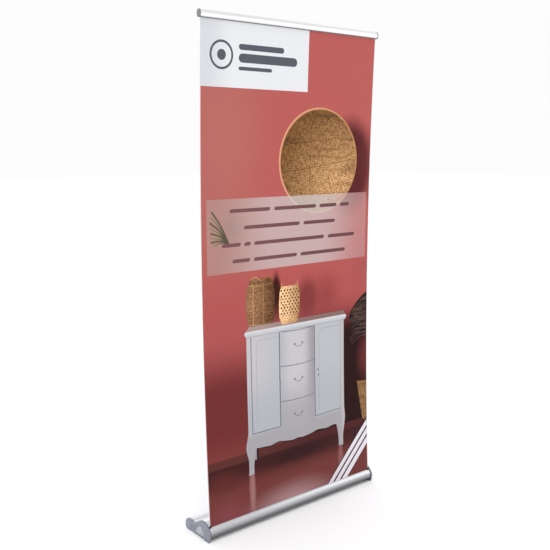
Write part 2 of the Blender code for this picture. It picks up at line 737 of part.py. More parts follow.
def make_socket(finish):
    inner = LOWER_TUBE_RADIUS + GAP
    flange = SOCKET_RADIUS + SOCKET_FLANGE
    profile = [
        (0, 0),
        (SOCKET_RADIUS, 0),
        (SOCKET_RADIUS, SOCKET_SEAT + GAP),
        (flange, SOCKET_SEAT + GAP),
        (flange, SOCKET_SEAT + GAP + 0.6 * FLANGE_THICKNESS),
        (flange - 0.5 * FLANGE_THICKNESS, SOCKET_SEAT + GAP + FLANGE_THICKNESS),
        (inner + 2 * GAP, SOCKET_SEAT + GAP + FLANGE_THICKNESS),
        (inner, SOCKET_SEAT + FLANGE_THICKNESS - GAP),
        (inner, SOCKET_BASE),
        (0, SOCKET_BASE),
    ]
    turned("pole_socket", profile, finish, pole_frame("socket_frame", 0))


def collar_profile(outer_tube, inner_tube, tube_top):
    """A twist-lock collar: it covers the mouth of the outer tube and closes in on the inner one."""
    outer = outer_tube + GAP + COLLAR_WALL
    low, high = tube_top - COLLAR_LENGTH + COLLAR_SEAT, tube_top + COLLAR_SEAT
    step = COLLAR_LENGTH / 7
    grooves = []
    for i in range(1, 4):
        middle = low + (i + 0.8) * step
        grooves += [(outer, middle - 0.3 * step), (outer - GROOVE_DEPTH, middle - 0.2 * step)]
        grooves += [(outer - GROOVE_DEPTH, middle + 0.2 * step), (outer, middle + 0.3 * step)]
    return [
        (outer_tube + GAP, low),
        (outer - COLLAR_EDGE, low),
        (outer, low + COLLAR_EDGE),
        *grooves,
        (outer, high - 4 * COLLAR_EDGE),
        (inner_tube + GAP + COLLAR_WALL / 2, high),
        (inner_tube + GAP, high),
        (inner_tube + GAP, tube_top + GAP),
        (outer_tube + GAP, tube_top + GAP),
    ]


def make_section(name, radius, low, high, alloy, frame):
    turned(name, ring(radius - TUBE_WALL, radius, low, high), alloy, frame)


def make_glide(name, tube_radius, bore_radius, low, finish, frame):
    """The nylon plug in an inner tube's lower end, whose rim slides in the tube outside it."""
    inside = tube_radius - TUBE_WALL - GAP
    rim = bore_radius - GLIDE_CLEARANCE
    profile = [
        (0, low - GLIDE_RIM),
        (rim, low - GLIDE_RIM),
        (rim, low - GAP),
        (inside, low - GAP),
        (inside, low + GLIDE_LENGTH),
        (0, low + GLIDE_LENGTH),
    ]
    turned(name, profile, finish, frame)


def make_pole(alloy, plastic, nylon):
    lower_frame = pole_frame("lower_frame", 0)
    middle_frame = pole_frame("middle_frame", 0)
    upper_frame = pole_frame("upper_frame", 0)
    foot = SOCKET_BASE + GAP
    lower_top = foot + SECTION_RISE
    middle_top = lower_top + SECTION_RISE
    middle_low = lower_top - TUBE_OVERLAP
    upper_low = middle_top - TUBE_OVERLAP
    upper_top = POLE_LENGTH - GAP
    lower_bore = LOWER_TUBE_RADIUS - TUBE_WALL
    middle_bore = MIDDLE_TUBE_RADIUS - TUBE_WALL

    tube_foot = foot + FOOT_PLUG_FLANGE
    make_section("pole_lower_tube", LOWER_TUBE_RADIUS, tube_foot, lower_top, alloy, lower_frame)
    plug = [
        (0, foot),
        (LOWER_TUBE_RADIUS, foot),
        (LOWER_TUBE_RADIUS, tube_foot - GAP),
        (lower_bore - GAP, tube_foot - GAP),
        (lower_bore - GAP, foot + FOOT_PLUG_LENGTH),
        (0, foot + FOOT_PLUG_LENGTH),
    ]
    turned("pole_foot_plug", plug, plastic, lower_frame)
    collar = collar_profile(LOWER_TUBE_RADIUS, MIDDLE_TUBE_RADIUS, lower_top)
    turned("lower_twist_collar", collar, plastic, lower_frame)

    make_section("pole_middle_tube", MIDDLE_TUBE_RADIUS, middle_low, middle_top, alloy, middle_frame)
    make_glide("middle_tube_glide", MIDDLE_TUBE_RADIUS, lower_bore, middle_low, nylon, middle_frame)
    collar = collar_profile(MIDDLE_TUBE_RADIUS, UPPER_TUBE_RADIUS, middle_top)
    turned("upper_twist_collar", collar, plastic, middle_frame)

    make_section("pole_upper_tube", UPPER_TUBE_RADIUS, upper_low, upper_top, alloy, upper_frame)
    make_glide("upper_tube_glide", UPPER_TUBE_RADIUS, middle_bore, upper_low, nylon, upper_frame)
    make_hook(plastic, upper_frame)


def make_hook(plastic, frame):
    """The head of the pole: a plug in the tube, a block on it, and a blade that lifts the rail's hanger."""
    low, high = POLE_LENGTH - HEAD_PLUG, POLE_LENGTH + BLADE_THICKNESS
    plug = rod(UPPER_TUBE_RADIUS - TUBE_WALL - GAP, low, high)
    head = turned("pole_hook", plug, plastic, frame)
    gutter_front = RAIL_HALF_DEPTH
    gutter_rear = HANGER_REACH - RAIL_WALL
    blade_front = (gutter_front + gutter_rear - BLADE_THICKNESS) / 2 + GAP
    blade_rear = blade_front + BLADE_THICKNESS
    ceiling = RAIL_Z + HANGER_TOP - RAIL_WALL
    floor = RAIL_Z - HEAD_DEPTH + 2 * GAP
    neck = RAIL_Z + HANGER_BOTTOM - HEAD_CORNER / 2
    block_rear = POLE_TOP_BEHIND + UPPER_TUBE_RADIUS
    block_front = HANGER_REACH + 0.001
    block_top = RAIL_Z + HANGER_TOP
    outline = [
        (blade_front, floor + BLADE_FOOT),
        (block_front, floor),
        (block_rear, floor),
        (block_rear, block_top - HEAD_CORNER),
        (block_rear - HEAD_CORNER, block_top),
        (block_front + HEAD_CORNER / 2, block_top),
        (block_front, block_top - HEAD_CORNER / 2),
        (block_front, neck),
        (blade_rear, neck),
        (blade_rear, ceiling - GAP),
        (blade_front, ceiling - GAP),
    ]
    half = 0.8 * UPPER_TUBE_RADIUS
    join(head, bar_along_x("hook_block", [outline], -half, half, plastic))


def main():
    clear_scene()
    alloy = material("silver_anodised", (0.72, 0.73, 0.75), 0.35, 1.0)
    plating = material("plated_plastic", (0.42, 0.43, 0.48), 0.3, 0.8)
    moulding = material("black_moulding", (0.05, 0.05, 0.055), 0.5)
    grey = material("grey_moulding", (0.45, 0.46, 0.47), 0.45)
    nylon = material("white_nylon", (0.85, 0.85, 0.83), 0.5)
    steel = material("zinc_steel", (0.6, 0.6, 0.62), 0.35, 1.0)
    rubber = material("black_rubber", (0.03, 0.03, 0.03), 0.8)
    film = material("printed_film", (0.62, 0.17, 0.15), 0.45)
    leader = material("leader_film", (0.8, 0.8, 0.8), 0.5)

    make_housing(alloy)
    for side, name in ((-1, "left"), (1, "right")):
        make_end_plate(name + "_end_plate", side, moulding)
        make_end_cap(name + "_end_cap", side, plating)
    make_feet(rubber)
    make_screws(steel)
    make_roller(alloy, nylon, steel, leader)
    make_sheet(film)
    make_rail(alloy, grey, rubber)
    make_socket(moulding)
    make_pole(alloy, moulding, nylon)


main()
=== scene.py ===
"""The looks of the roll-up banner stand: printed sheet, satin metal, plated end caps, pole and rail."""

import math

import bmesh
import bpy
from mathutils import Matrix, Vector, geometry


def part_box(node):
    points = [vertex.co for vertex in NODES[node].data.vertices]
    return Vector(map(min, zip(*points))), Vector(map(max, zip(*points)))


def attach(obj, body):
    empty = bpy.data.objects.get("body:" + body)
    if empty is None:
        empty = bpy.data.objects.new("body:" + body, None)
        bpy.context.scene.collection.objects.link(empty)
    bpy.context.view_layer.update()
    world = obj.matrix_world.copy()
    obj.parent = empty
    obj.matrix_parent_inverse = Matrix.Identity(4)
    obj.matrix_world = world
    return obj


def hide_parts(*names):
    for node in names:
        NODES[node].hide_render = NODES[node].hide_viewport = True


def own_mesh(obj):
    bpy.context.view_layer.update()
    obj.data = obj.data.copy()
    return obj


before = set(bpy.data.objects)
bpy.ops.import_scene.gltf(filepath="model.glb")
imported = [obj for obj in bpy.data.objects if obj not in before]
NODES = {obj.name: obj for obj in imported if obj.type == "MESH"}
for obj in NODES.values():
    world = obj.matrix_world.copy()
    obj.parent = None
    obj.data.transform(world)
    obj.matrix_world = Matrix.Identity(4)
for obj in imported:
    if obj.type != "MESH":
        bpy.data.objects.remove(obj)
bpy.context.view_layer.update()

# Sizes shared with the CAD, in metres
SHEET_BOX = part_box("banner_sheet")
SHEET_WIDTH = SHEET_BOX[1][0] - SHEET_BOX[0][0]
SHEET_THICKNESS = 0.0004
SHEET_BOW = 0.026
VISIBLE_HEIGHT = 2.0
SHEET_Y = -0.0735
RAIL_HALF_DEPTH = 0.0105
RAIL_HALF_HEIGHT = 0.0145
RAIL_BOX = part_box("rail_left_cap")
RAIL_Z = (RAIL_BOX[0][2] + RAIL_BOX[1][2]) / 2
RAIL_BOTTOM = RAIL_Z - RAIL_HALF_HEIGHT
SLOT_TOP = RAIL_BOTTOM - VISIBLE_HEIGHT
GAP = 0.0003
NOSE_REACH = 0.018
REAR = 0.165
HUMP_BEHIND = 0.038
HUMP_HEIGHT = 0.078
NOSE_HEIGHT = 0.033
FOOT_SETBACK = 0.005
REAR_TOP_HEIGHT = 0.0505
VALLEY_HEIGHT = 0.0475
REAR_ROUND = 0.030
VALLEY_FROM_REAR = 0.061
REAR_FOOT_SETBACK = 0.010
CAP_LIP = 0.0025
WALL = 0.0022
HOUSING_FLOOR = 0.020
SLOT_WIDTH = 0.005
RIB_BEHIND = 0.063
CURVE_STEPS = 22
SHARP_ANGLE = 35
BOSS_RADIUS = 0.0042
SCREW_RADIUS = 0.0018
CAP_THICKNESS = 0.008
CAP_WALL = 0.003
CAP_EDGE_ROUND = 0.0018
RELIEF_DEPTH = 0.0012
RELIEF_FRONT = 0.0285
RELIEF_REAR = 0.076
RELIEF_FOOT = 0.014
RELIEF_CREST = 0.0484
PEG_RADIUS = 0.0025
FOOT_HEIGHT = 0.0025
PAD_ROUND = 0.0016
GROOVE_GAP = 0.003
GROOVE_HALF_WIDTH = 0.0007
GROOVE_DEPTH = 0.0005
AXLE_RADIUS = 0.004
AXLE_HEAD_SIDE = 0.010
BUSH_WALL = 0.003
BUSH_RADIUS = AXLE_RADIUS + GAP + BUSH_WALL
FILM_RADIUS = 0.0172
ROLLER_HEIGHT = 0.045
ROLLER_BEHIND = FILM_RADIUS + SHEET_THICKNESS + GAP + SLOT_WIDTH / 2
RAIL_WALL = 0.0015
RAIL_CAP_THICKNESS = 0.005
RAIL_CAP_LIP = 0.001
LAND_OFFSET = 0.0015
LAND_HEIGHT = 0.008
SHEET_TUCK = 0.013
GUIDE_DEPTH = 0.006
GUIDE_RISE = 0.0075
GUIDE_CLEAR = 0.0006
HINGE_BEAD = 0.003
HINGE_AHEAD = 0.0035
HINGE_BELOW_TOP = 0.0055
KNUCKLE_WALL = 0.0015
HANGER_REACH = 0.0185
HANGER_TOP = 0.0065
HANGER_BOTTOM = -0.0015
SOCKET_FLOOR = 0.006
SOCKET_WALL = 0.003
SOCKET_BASE = 0.002
SOCKET_FLANGE = 0.006
FLANGE_THICKNESS = 0.002
SPOT_FACE = 0.0008
POLE_TOP_BEHIND = 0.035
TUBE_WALL = 0.0012
RUNNING_GAP = 0.0004
LOWER_TUBE_RADIUS = 0.011
MIDDLE_TUBE_RADIUS = LOWER_TUBE_RADIUS - TUBE_WALL - RUNNING_GAP
UPPER_TUBE_RADIUS = MIDDLE_TUBE_RADIUS - TUBE_WALL - RUNNING_GAP
TUBE_OVERLAP = 0.060
COLLAR_LENGTH = 0.044
COLLAR_WALL = 0.0030
COLLAR_SEAT = 0.018
BLADE_THICKNESS = 0.003
HEAD_DEPTH = 0.022
SOCKET_RADIUS = LOWER_TUBE_RADIUS + GAP + SOCKET_WALL
VALLEY_BEHIND = REAR - VALLEY_FROM_REAR
LEAN = math.atan2(VALLEY_BEHIND - POLE_TOP_BEHIND, RAIL_Z - HEAD_DEPTH - VALLEY_HEIGHT)
SOCKET_BEHIND = VALLEY_BEHIND + (VALLEY_HEIGHT - SOCKET_FLOOR) * math.tan(LEAN)
SOCKET_SEAT = (VALLEY_HEIGHT - CAP_LIP - SPOT_FACE - SOCKET_FLOOR) / math.cos(LEAN)
POLE_LENGTH = (RAIL_Z - HEAD_DEPTH - SOCKET_FLOOR) / math.cos(LEAN)
SECTION_RISE = (POLE_LENGTH - SOCKET_BASE) / 3
POLE_FRAME = Matrix.Translation((0, SHEET_Y + SOCKET_BEHIND, SOCKET_FLOOR)) @ Matrix.Rotation(LEAN, 4, "X")
WORLD_STRENGTH = 0.98
SUN_STRENGTH = 1.4
PAPER_WHITE = 0.9
BOW_ROWS = 50
WELD_MM = 0.02


# --- Node helpers ---


def srgb(red, green, blue):
    """A display colour of 0 to 255 as the linear colour that a shader takes."""

    def linear(value):
        value /= 255
        return value / 12.92 if value <= 0.04045 else ((value + 0.055) / 1.055) ** 2.4

    return (linear(red), linear(green), linear(blue), 1.0)


class Graph:
    """A material and short ways to add nodes. Three numbers at a colour socket are a display colour."""

    def __init__(self, name, colour=(0.5, 0.5, 0.5, 1), roughness=0.5, metallic=0.0):
        self.material = bpy.data.materials.new(name)
        self.material.use_nodes = True
        self.tree = self.material.node_tree
        self.shader = self.tree.nodes["Principled BSDF"]
        self.set(self.shader, "Base Color", colour)
        self.set(self.shader, "Roughness", roughness)
        self.set(self.shader, "Metallic", metallic)

    def set(self, node, key, value):
        socket = node.inputs[key]
        if isinstance(value, bpy.types.NodeSocket):
            self.tree.links.new(value, socket)
        elif socket.type == "RGBA" and len(value) == 3:
            socket.default_value = srgb(*value)
        else:
            socket.default_value = value

    def add(self, kind, inputs=(), **settings):
        node = self.tree.nodes.new(kind)
        for key, value in settings.items():
            setattr(node, key, value)
        for key, value in dict(inputs).items():
            self.set(node, key, value)
        return node

    def math(self, operation, first, second=0.0, clamp=False):
        inputs = {0: first, 1: second}
        return self.add("ShaderNodeMath", inputs, operation=operation, use_clamp=clamp).outputs[0]

    def ease(self, value, low, high, start=0.0, end=1.0):
        """value from low to high, eased into start to end."""
        inputs = {"Value": value, "From Min": low, "From Max": high, "To Min": start, "To Max": end}
        node = self.add("ShaderNodeMapRange", inputs, interpolation_type="SMOOTHSTEP")
        return node.outputs["Result"]

    def mix(self, factor, first, second):
        node = self.add("ShaderNodeMix", data_type="RGBA")
        self.set(node, "Factor", factor)
        self.set(node, 6, first)
        self.set(node, 7, second)
        return node.outputs[2]

    def scaled(self, vector, x, y, z, turn=0.0):
        inputs = {"Vector": vector, "Scale": (x, y, z), "Rotation": (0, 0, turn)}
        return self.add("ShaderNodeMapping", inputs).outputs[0]

    def noise(self, vector, scale, detail=2.0):
        inputs = {"Vector": vector, "Scale": scale, "Detail": detail}
        return self.add("ShaderNodeTexNoise", inputs).outputs["Fac"]

    def noises(self, *scales):
        """One noise in the object's own place for each (scale, detail)."""
        place = self.place()
        return [self.noise(place, *scale) for scale in scales]

    def product(self, colour, tint):
        """Two colours multiplied."""
        node = self.add("ShaderNodeMix", {6: colour, 7: tint}, data_type="RGBA", blend_type="MULTIPLY")
        self.set(node, "Factor", 1.0)
        return node.outputs[2]

    def place(self):
        return self.add("ShaderNodeTexCoord").outputs["Object"]

    def colour(self, value):
        self.set(self.shader, "Base Color", value)

    def bump(self, height, distance, strength=0.5):
        inputs = {"Height": height, "Distance": distance, "Strength": strength}
        self.set(self.shader, "Normal", self.add("ShaderNodeBump", inputs).outputs[0])


def around(graph, value, spread):
    """A grey value that wanders by spread around 1, for multiplying."""
    return graph.ease(value, 0.25, 0.75, 1 - spread, 1 + spread)


def shade(graph, colour, factor):
    """A colour times a grey factor."""
    grey = graph.add("ShaderNodeCombineColor", {0: factor, 1: factor, 2: factor})
    return graph.product(colour, grey.outputs[0])


def surface(graph, colour, tones, rough=None, relief=None):
    """Ends a material: its colour times each tone, its roughness eased from a noise, and its relief."""
    tone = tones[0]
    for factor in tones[1:]:
        tone = graph.math("MULTIPLY", tone, factor)
    graph.colour(shade(graph, colour, tone))
    if rough:
        graph.set(graph.shader, "Roughness", graph.ease(*rough))
    if relief:
        graph.bump(*relief)
    return graph.material


# --- Materials of the hardware ---


def satin_aluminium(name, colour, along, roughness=0.3, low=None, high=None, dark=0.55):
    """Anodised metal with drawing lines along one axis; where low is given, painted shade darkens it towards
    low.
    """
    graph = Graph(name, colour, roughness, 1.0)
    place = graph.place()

    def streaks(across, lengthways, detail):
        stretch = [lengthways if axis == along else across for axis in range(3)]
        return graph.noise(graph.scaled(place, *stretch), 1.0, detail)

    fine = streaks(900.0, 3.0, 3.0)
    tones = [around(graph, fine, 0.05), around(graph, streaks(60.0, 0.6, 2.0), 0.05)]
    # Painted shade: the colour darkens with height from high down to low, reaching dark, standing in for the
    # dark floor that the metal reflects
    if low is not None:
        height = graph.add("ShaderNodeSeparateXYZ", {0: place}).outputs[2]
        tones.append(graph.ease(height, low, high, dark, 1.0))
    rough = (fine, 0.2, 0.8, roughness - 0.06, roughness + 0.08)
    return surface(graph, colour, tones, rough, (fine, 0.00006, 0.5))


def plated_plastic(name, base):
    """The grey plated end caps: a satin shell with a faint cloudy mottle."""
    graph = Graph(name, base, 0.34, 0.7)
    cloud, grain = graph.noises((55.0, 4.0), (900.0, 2.0))
    tones = [around(graph, cloud, 0.18), around(graph, grain, 0.06)]
    return surface(graph, base, tones, (cloud, 0.3, 0.7, 0.26, 0.4), (grain, 0.00008, 0.35))


def moulded(name, colour, roughness, grain_scale=1400.0):
    """Moulded plastic or rubber with a fine spark-eroded grain."""
    graph = Graph(name, colour, roughness)
    grain, cloud = graph.noises((grain_scale, 2.0), (40.0, 3.0))
    tones = [around(graph, grain, 0.06), around(graph, cloud, 0.06)]
    rough = (grain, 0.2, 0.8, roughness - 0.05, roughness + 0.08)
    return surface(graph, colour, tones, rough, (grain, 0.0001, 0.4))


def zinc_steel():
    colour = (170, 172, 178)
    graph = Graph("zinc_steel", colour, 0.35, 1.0)
    (spangle,) = graph.noises((300.0, 3.0))
    return surface(graph, colour, [around(graph, spangle, 0.1)], (spangle, 0.3, 0.7, 0.28, 0.45))


def plain_film(name, colour):
    """The unprinted side of the film: matt white with a faint calendered grain."""
    graph = Graph(name, colour, 0.6)
    grain, cloud = graph.noises((700.0, 3.0), (6.0, 2.0))
    tones = [around(graph, grain, 0.02), around(graph, cloud, 0.02)]
    return surface(graph, colour, tones, relief=(grain, 0.00005, 0.3))


# --- The print: colours are functions of u (from the left edge) and v (down from the rail), in metres --


class Print(Graph):
    """One ink region of the sheet. veiled lays the translucent caption panel over it."""

    def __init__(self, name, veiled=False):
        super().__init__(name, roughness=0.42)
        self.uv = self.add("ShaderNodeAttribute", attribute_name="print_place").outputs["Vector"]
        parts = self.add("ShaderNodeSeparateXYZ", {0: self.uv})
        self.u, self.v = parts.outputs[0], parts.outputs[1]
        self.veiled = veiled
        self.set(self.shader, "Specular IOR Level", 0.08)

    def blob(self, colour, paint, middle, reach, amount=1.0, core=0.0):
        """paint spread softly over an oval round middle."""
        du = self.math("DIVIDE", self.math("SUBTRACT", self.u, middle[0]), reach[0])
        dv = self.math("DIVIDE", self.math("SUBTRACT", self.v, middle[1]), reach[1])
        squares = self.math("ADD", self.math("MULTIPLY", du, du), self.math("MULTIPLY", dv, dv))
        away = self.math("SQRT", squares)
        return self.mix(self.ease(away, core, 1.0, amount, 0.0), colour, paint)

    def blobs(self, colour, *spots):
        """Several blobs, one over the other."""
        for spot in spots:
            colour = self.blob(colour, *spot)
        return colour

    def across(self, start, end, low, high):
        """Colours from left to right."""
        return self.mix(self.ease(self.u, low, high), start, end)

    def down(self, colour, paint, low, high, amount=1.0):
        """paint fades in from v = low to v = high."""
        return self.mix(self.ease(self.v, low, high, 0.0, amount), colour, paint)

    def finish(self, colour):
        """Adds the caption's veil where wanted and the film's faint grain, and ends the material."""
        if self.veiled:
            veil = self.mix(self.ease(self.u, 0.05, 0.40), (176, 146, 138), (202, 194, 192))
            veil = self.mix(self.ease(self.u, 0.60, 0.88), veil, (190, 144, 142))
            colour = self.mix(0.66, colour, veil)
        grain = self.noise(self.uv, 900.0, 2.0)
        self.colour(shade(self, colour, self.math("MULTIPLY", around(self, grain, 0.012), PAPER_WHITE)))
        self.bump(grain, 0.00004, 0.25)
        return self.material


def wall_paint(name, veiled=False):
    ink = Print(name, veiled)
    colour = ink.across((180, 101, 95), (184, 92, 88), 0.05, 0.45)
    colour = ink.blob(colour, (186, 108, 100), (0.12, 0.42), (0.22, 0.35), 0.7)
    colour = ink.down(colour, (176, 84, 82), 0.75, 1.15)
    colour = ink.blobs(
        colour,
        ((84, 27, 31), (0.79, 0.55), (0.17, 0.25), 0.97, 0.55),
        ((120, 52, 56), (0.93, 0.55), (0.10, 0.22), 0.55),
        ((132, 88, 84), (0.155, 0.79), (0.085, 0.085), 0.85, 0.1),
        ((60, 22, 12), (0.372, 1.12), (0.036, 0.16), 1.0, 0.6),
        ((126, 54, 52), (0.545, 1.12), (0.085, 0.13), 0.95, 0.3),
        ((168, 84, 82), (0.88, 1.02), (0.12, 0.12), 0.8),
        ((140, 57, 58), (0.65, 1.11), (0.13, 0.14), 0.7),
    )
    left = ink.down((172, 82, 82), (112, 44, 44), 1.22, 1.46)
    left = ink.down(left, (122, 56, 52), 1.60, 1.76)
    right = ink.down((140, 60, 62), (38, 9, 10), 1.16, 1.30)
    right = ink.blob(right, (104, 42, 42), (0.905, 1.44), (0.075, 0.15), 0.9, 0.1)
    lower = ink.mix(ink.ease(ink.u, 0.45, 0.50), left, right)
    return ink.finish(ink.mix(ink.ease(ink.v, 1.10, 1.26), colour, lower))


def skirting_paint():
    ink = Print("skirting_ink")
    colour = ink.across((90, 46, 41), (76, 32, 33), 0.15, 0.60)
    return ink.finish(ink.down(colour, (58, 25, 26), 1.762, 1.778))


def floor_paint():
    ink = Print("floor_ink")
    colour = ink.blobs(
        ink.down((64, 26, 25), (112, 54, 51), 1.80, 1.90),
        ((96, 42, 40), (0.08, 1.83), (0.14, 0.07), 0.8),
        ((50, 21, 23), (0.48, 1.80), (0.29, 0.055), 0.9, 0.2),
        ((134, 68, 74), (0.10, 1.98), (0.16, 0.10), 0.7),
        ((170, 132, 134), (0.44, 2.02), (0.33, 0.13), 0.95, 0.05),
        ((166, 120, 116), (0.224, 1.90), (0.022, 0.16), 0.75, 0.3),
        ((150, 100, 98), (0.738, 1.90), (0.022, 0.12), 0.7, 0.3),
        ((64, 30, 32), (0.86, 1.80), (0.12, 0.06), 0.7),
    )
    planks = ink.noise(ink.scaled(ink.uv, 4.0, 160.0, 1.0, 0.05), 1.0, 2.0)
    return ink.finish(shade(ink, colour, around(ink, planks, 0.05)))


def woven(name, light, middle, dark, cell, light_at=None, veiled=False, bands=None):
    """Basketry: small light and dark straws in rows, with slow bands of tone and a lit side."""
    ink = Print(name, veiled)

    def straws(along_u, along_v, turn=-0.05, detail=2.0):
        return ink.noise(ink.scaled(ink.uv, along_u, along_v, 1.0, turn), 1.0, detail)

    level, upright = straws(0.22 / cell, 1.5 / cell), straws(1.5 / cell, 0.22 / cell)
    over = ink.ease(straws(0.6 / cell, 0.6 / cell, 0.0, 1.0), 0.46, 0.54)
    straw = ink.math("ADD", level, ink.math("MULTIPLY", over, ink.math("SUBTRACT", upright, level)))
    colour = ink.mix(ink.ease(straw, 0.44, 0.60), middle, light)
    colour = ink.mix(ink.ease(straw, 0.46, 0.34, 0.0, 0.9), colour, dark)
    if bands:
        colour = ink.mix(ink.ease(straws(2.0, bands, -0.04, 1.0), 0.52, 0.66, 0.0, 0.45), colour, dark)
    if light_at:
        shadow_side, lit_side = (0.52, 0.42, 0.30, 1), (1.62, 1.64, 1.76, 1)
        colour = ink.product(colour, ink.blob(shadow_side, lit_side, *light_at))
    return ink.finish(colour)


def flat_ink(name, start, end=None, low=0.0, high=1.0, along="u", veiled=False):
    """A plain ink, or an even run from one ink to another along u or v."""
    ink = Print(name, veiled)
    value = ink.u if along == "u" else ink.v
    colour = start if end is None else ink.mix(ink.ease(value, low, high), start, end)
    return ink.finish(colour)


def cabinet_paint():
    ink = Print("cabinet_ink")
    colour = ink.across((196, 192, 196), (186, 188, 192), 0.24, 0.40)
    colour = ink.down(colour, (176, 179, 184), 1.35, 1.62)
    colour = ink.down(colour, (166, 163, 167), 1.655, 1.68)
    colour = ink.mix(ink.ease(ink.u, 0.742, 0.764), colour, (190, 181, 181))
    return ink.finish(colour)


def drawer_paint():
    ink = Print("drawer_ink")
    colour = ink.across((184, 182, 188), (198, 195, 199), 0.395, 0.45)
    colour = ink.mix(ink.ease(ink.u, 0.51, 0.583), colour, (158, 153, 158))
    colour = ink.down(colour, (164, 161, 166), 1.42, 1.64, 0.85)
    return ink.finish(colour)


def palm_paint():
    ink = Print("palm_ink")
    streak = ink.noise(ink.scaled(ink.uv, 14.0, 110.0, 1.0, -0.55), 1.0, 2.0)
    colour = ink.mix(ink.ease(streak, 0.42, 0.66), (28, 18, 17), (88, 63, 54))
    return ink.finish(colour)


# --- The print: outlines in millimetres, u from the left edge and v down from the rail ---


def oblong(left, top, right, bottom):
    return [(left, top), (right, top), (right, bottom), (left, bottom)]


def oval(u, v, half_width, half_height, steps=64):
    turns = [2 * math.pi * i / steps for i in range(steps)]
    return [(u + half_width * math.cos(t), v + half_height * math.sin(t)) for t in turns]


def soft_line(points, steps=8):
    """A smooth open line through points."""
    line = []
    padded = [points[0], *points, points[-1]]
    for corners in zip(padded, padded[1:], padded[2:], padded[3:]):
        for i in range(steps):
            t = i / steps
            pulls = (2 * t**2 - t - t**3, 2 - 5 * t**2 + 3 * t**3, t + 4 * t**2 - 3 * t**3, t**3 - t**2)
            pulled = list(zip(pulls, corners))
            line.append(tuple(sum(pull * corner[axis] for pull, corner in pulled) / 2 for axis in (0, 1)))
    return [*line, points[-1]]


def stroke(points, width, end_width=None):
    """A ribbon along a line, from one width to another."""
    end_width = width if end_width is None else end_width
    left, right = [], []
    for i, (u, v) in enumerate(points):
        before, after = points[max(i - 1, 0)], points[min(i + 1, len(points) - 1)]
        along = Vector((after[0] - before[0], after[1] - before[1])).normalized()
        half = (width + (end_width - width) * i / (len(points) - 1)) / 2
        left.append((u - along.y * half, v + along.x * half))
        right.append((u + along.y * half, v - along.x * half))
    return left + right[::-1]


def pill(left, middle, right, height, lean=0.0):
    """A rounded bar that stands in for a word."""
    radius = height / 2
    ends = arc(right - radius, 0, radius, -90, 90, 8) + arc(left + radius, 0, radius, 90, 270, 8)
    return [(u - lean * v, middle + v) for u, v in ends]


def frame_outline(left, top, right, bottom, cut, width):
    """A moulding line round a door panel, with its upper left corner rounded off."""
    return stroke([(left, bottom), *arc(left + cut, top + cut, cut, 180, 270, 6), (right, top)], width)


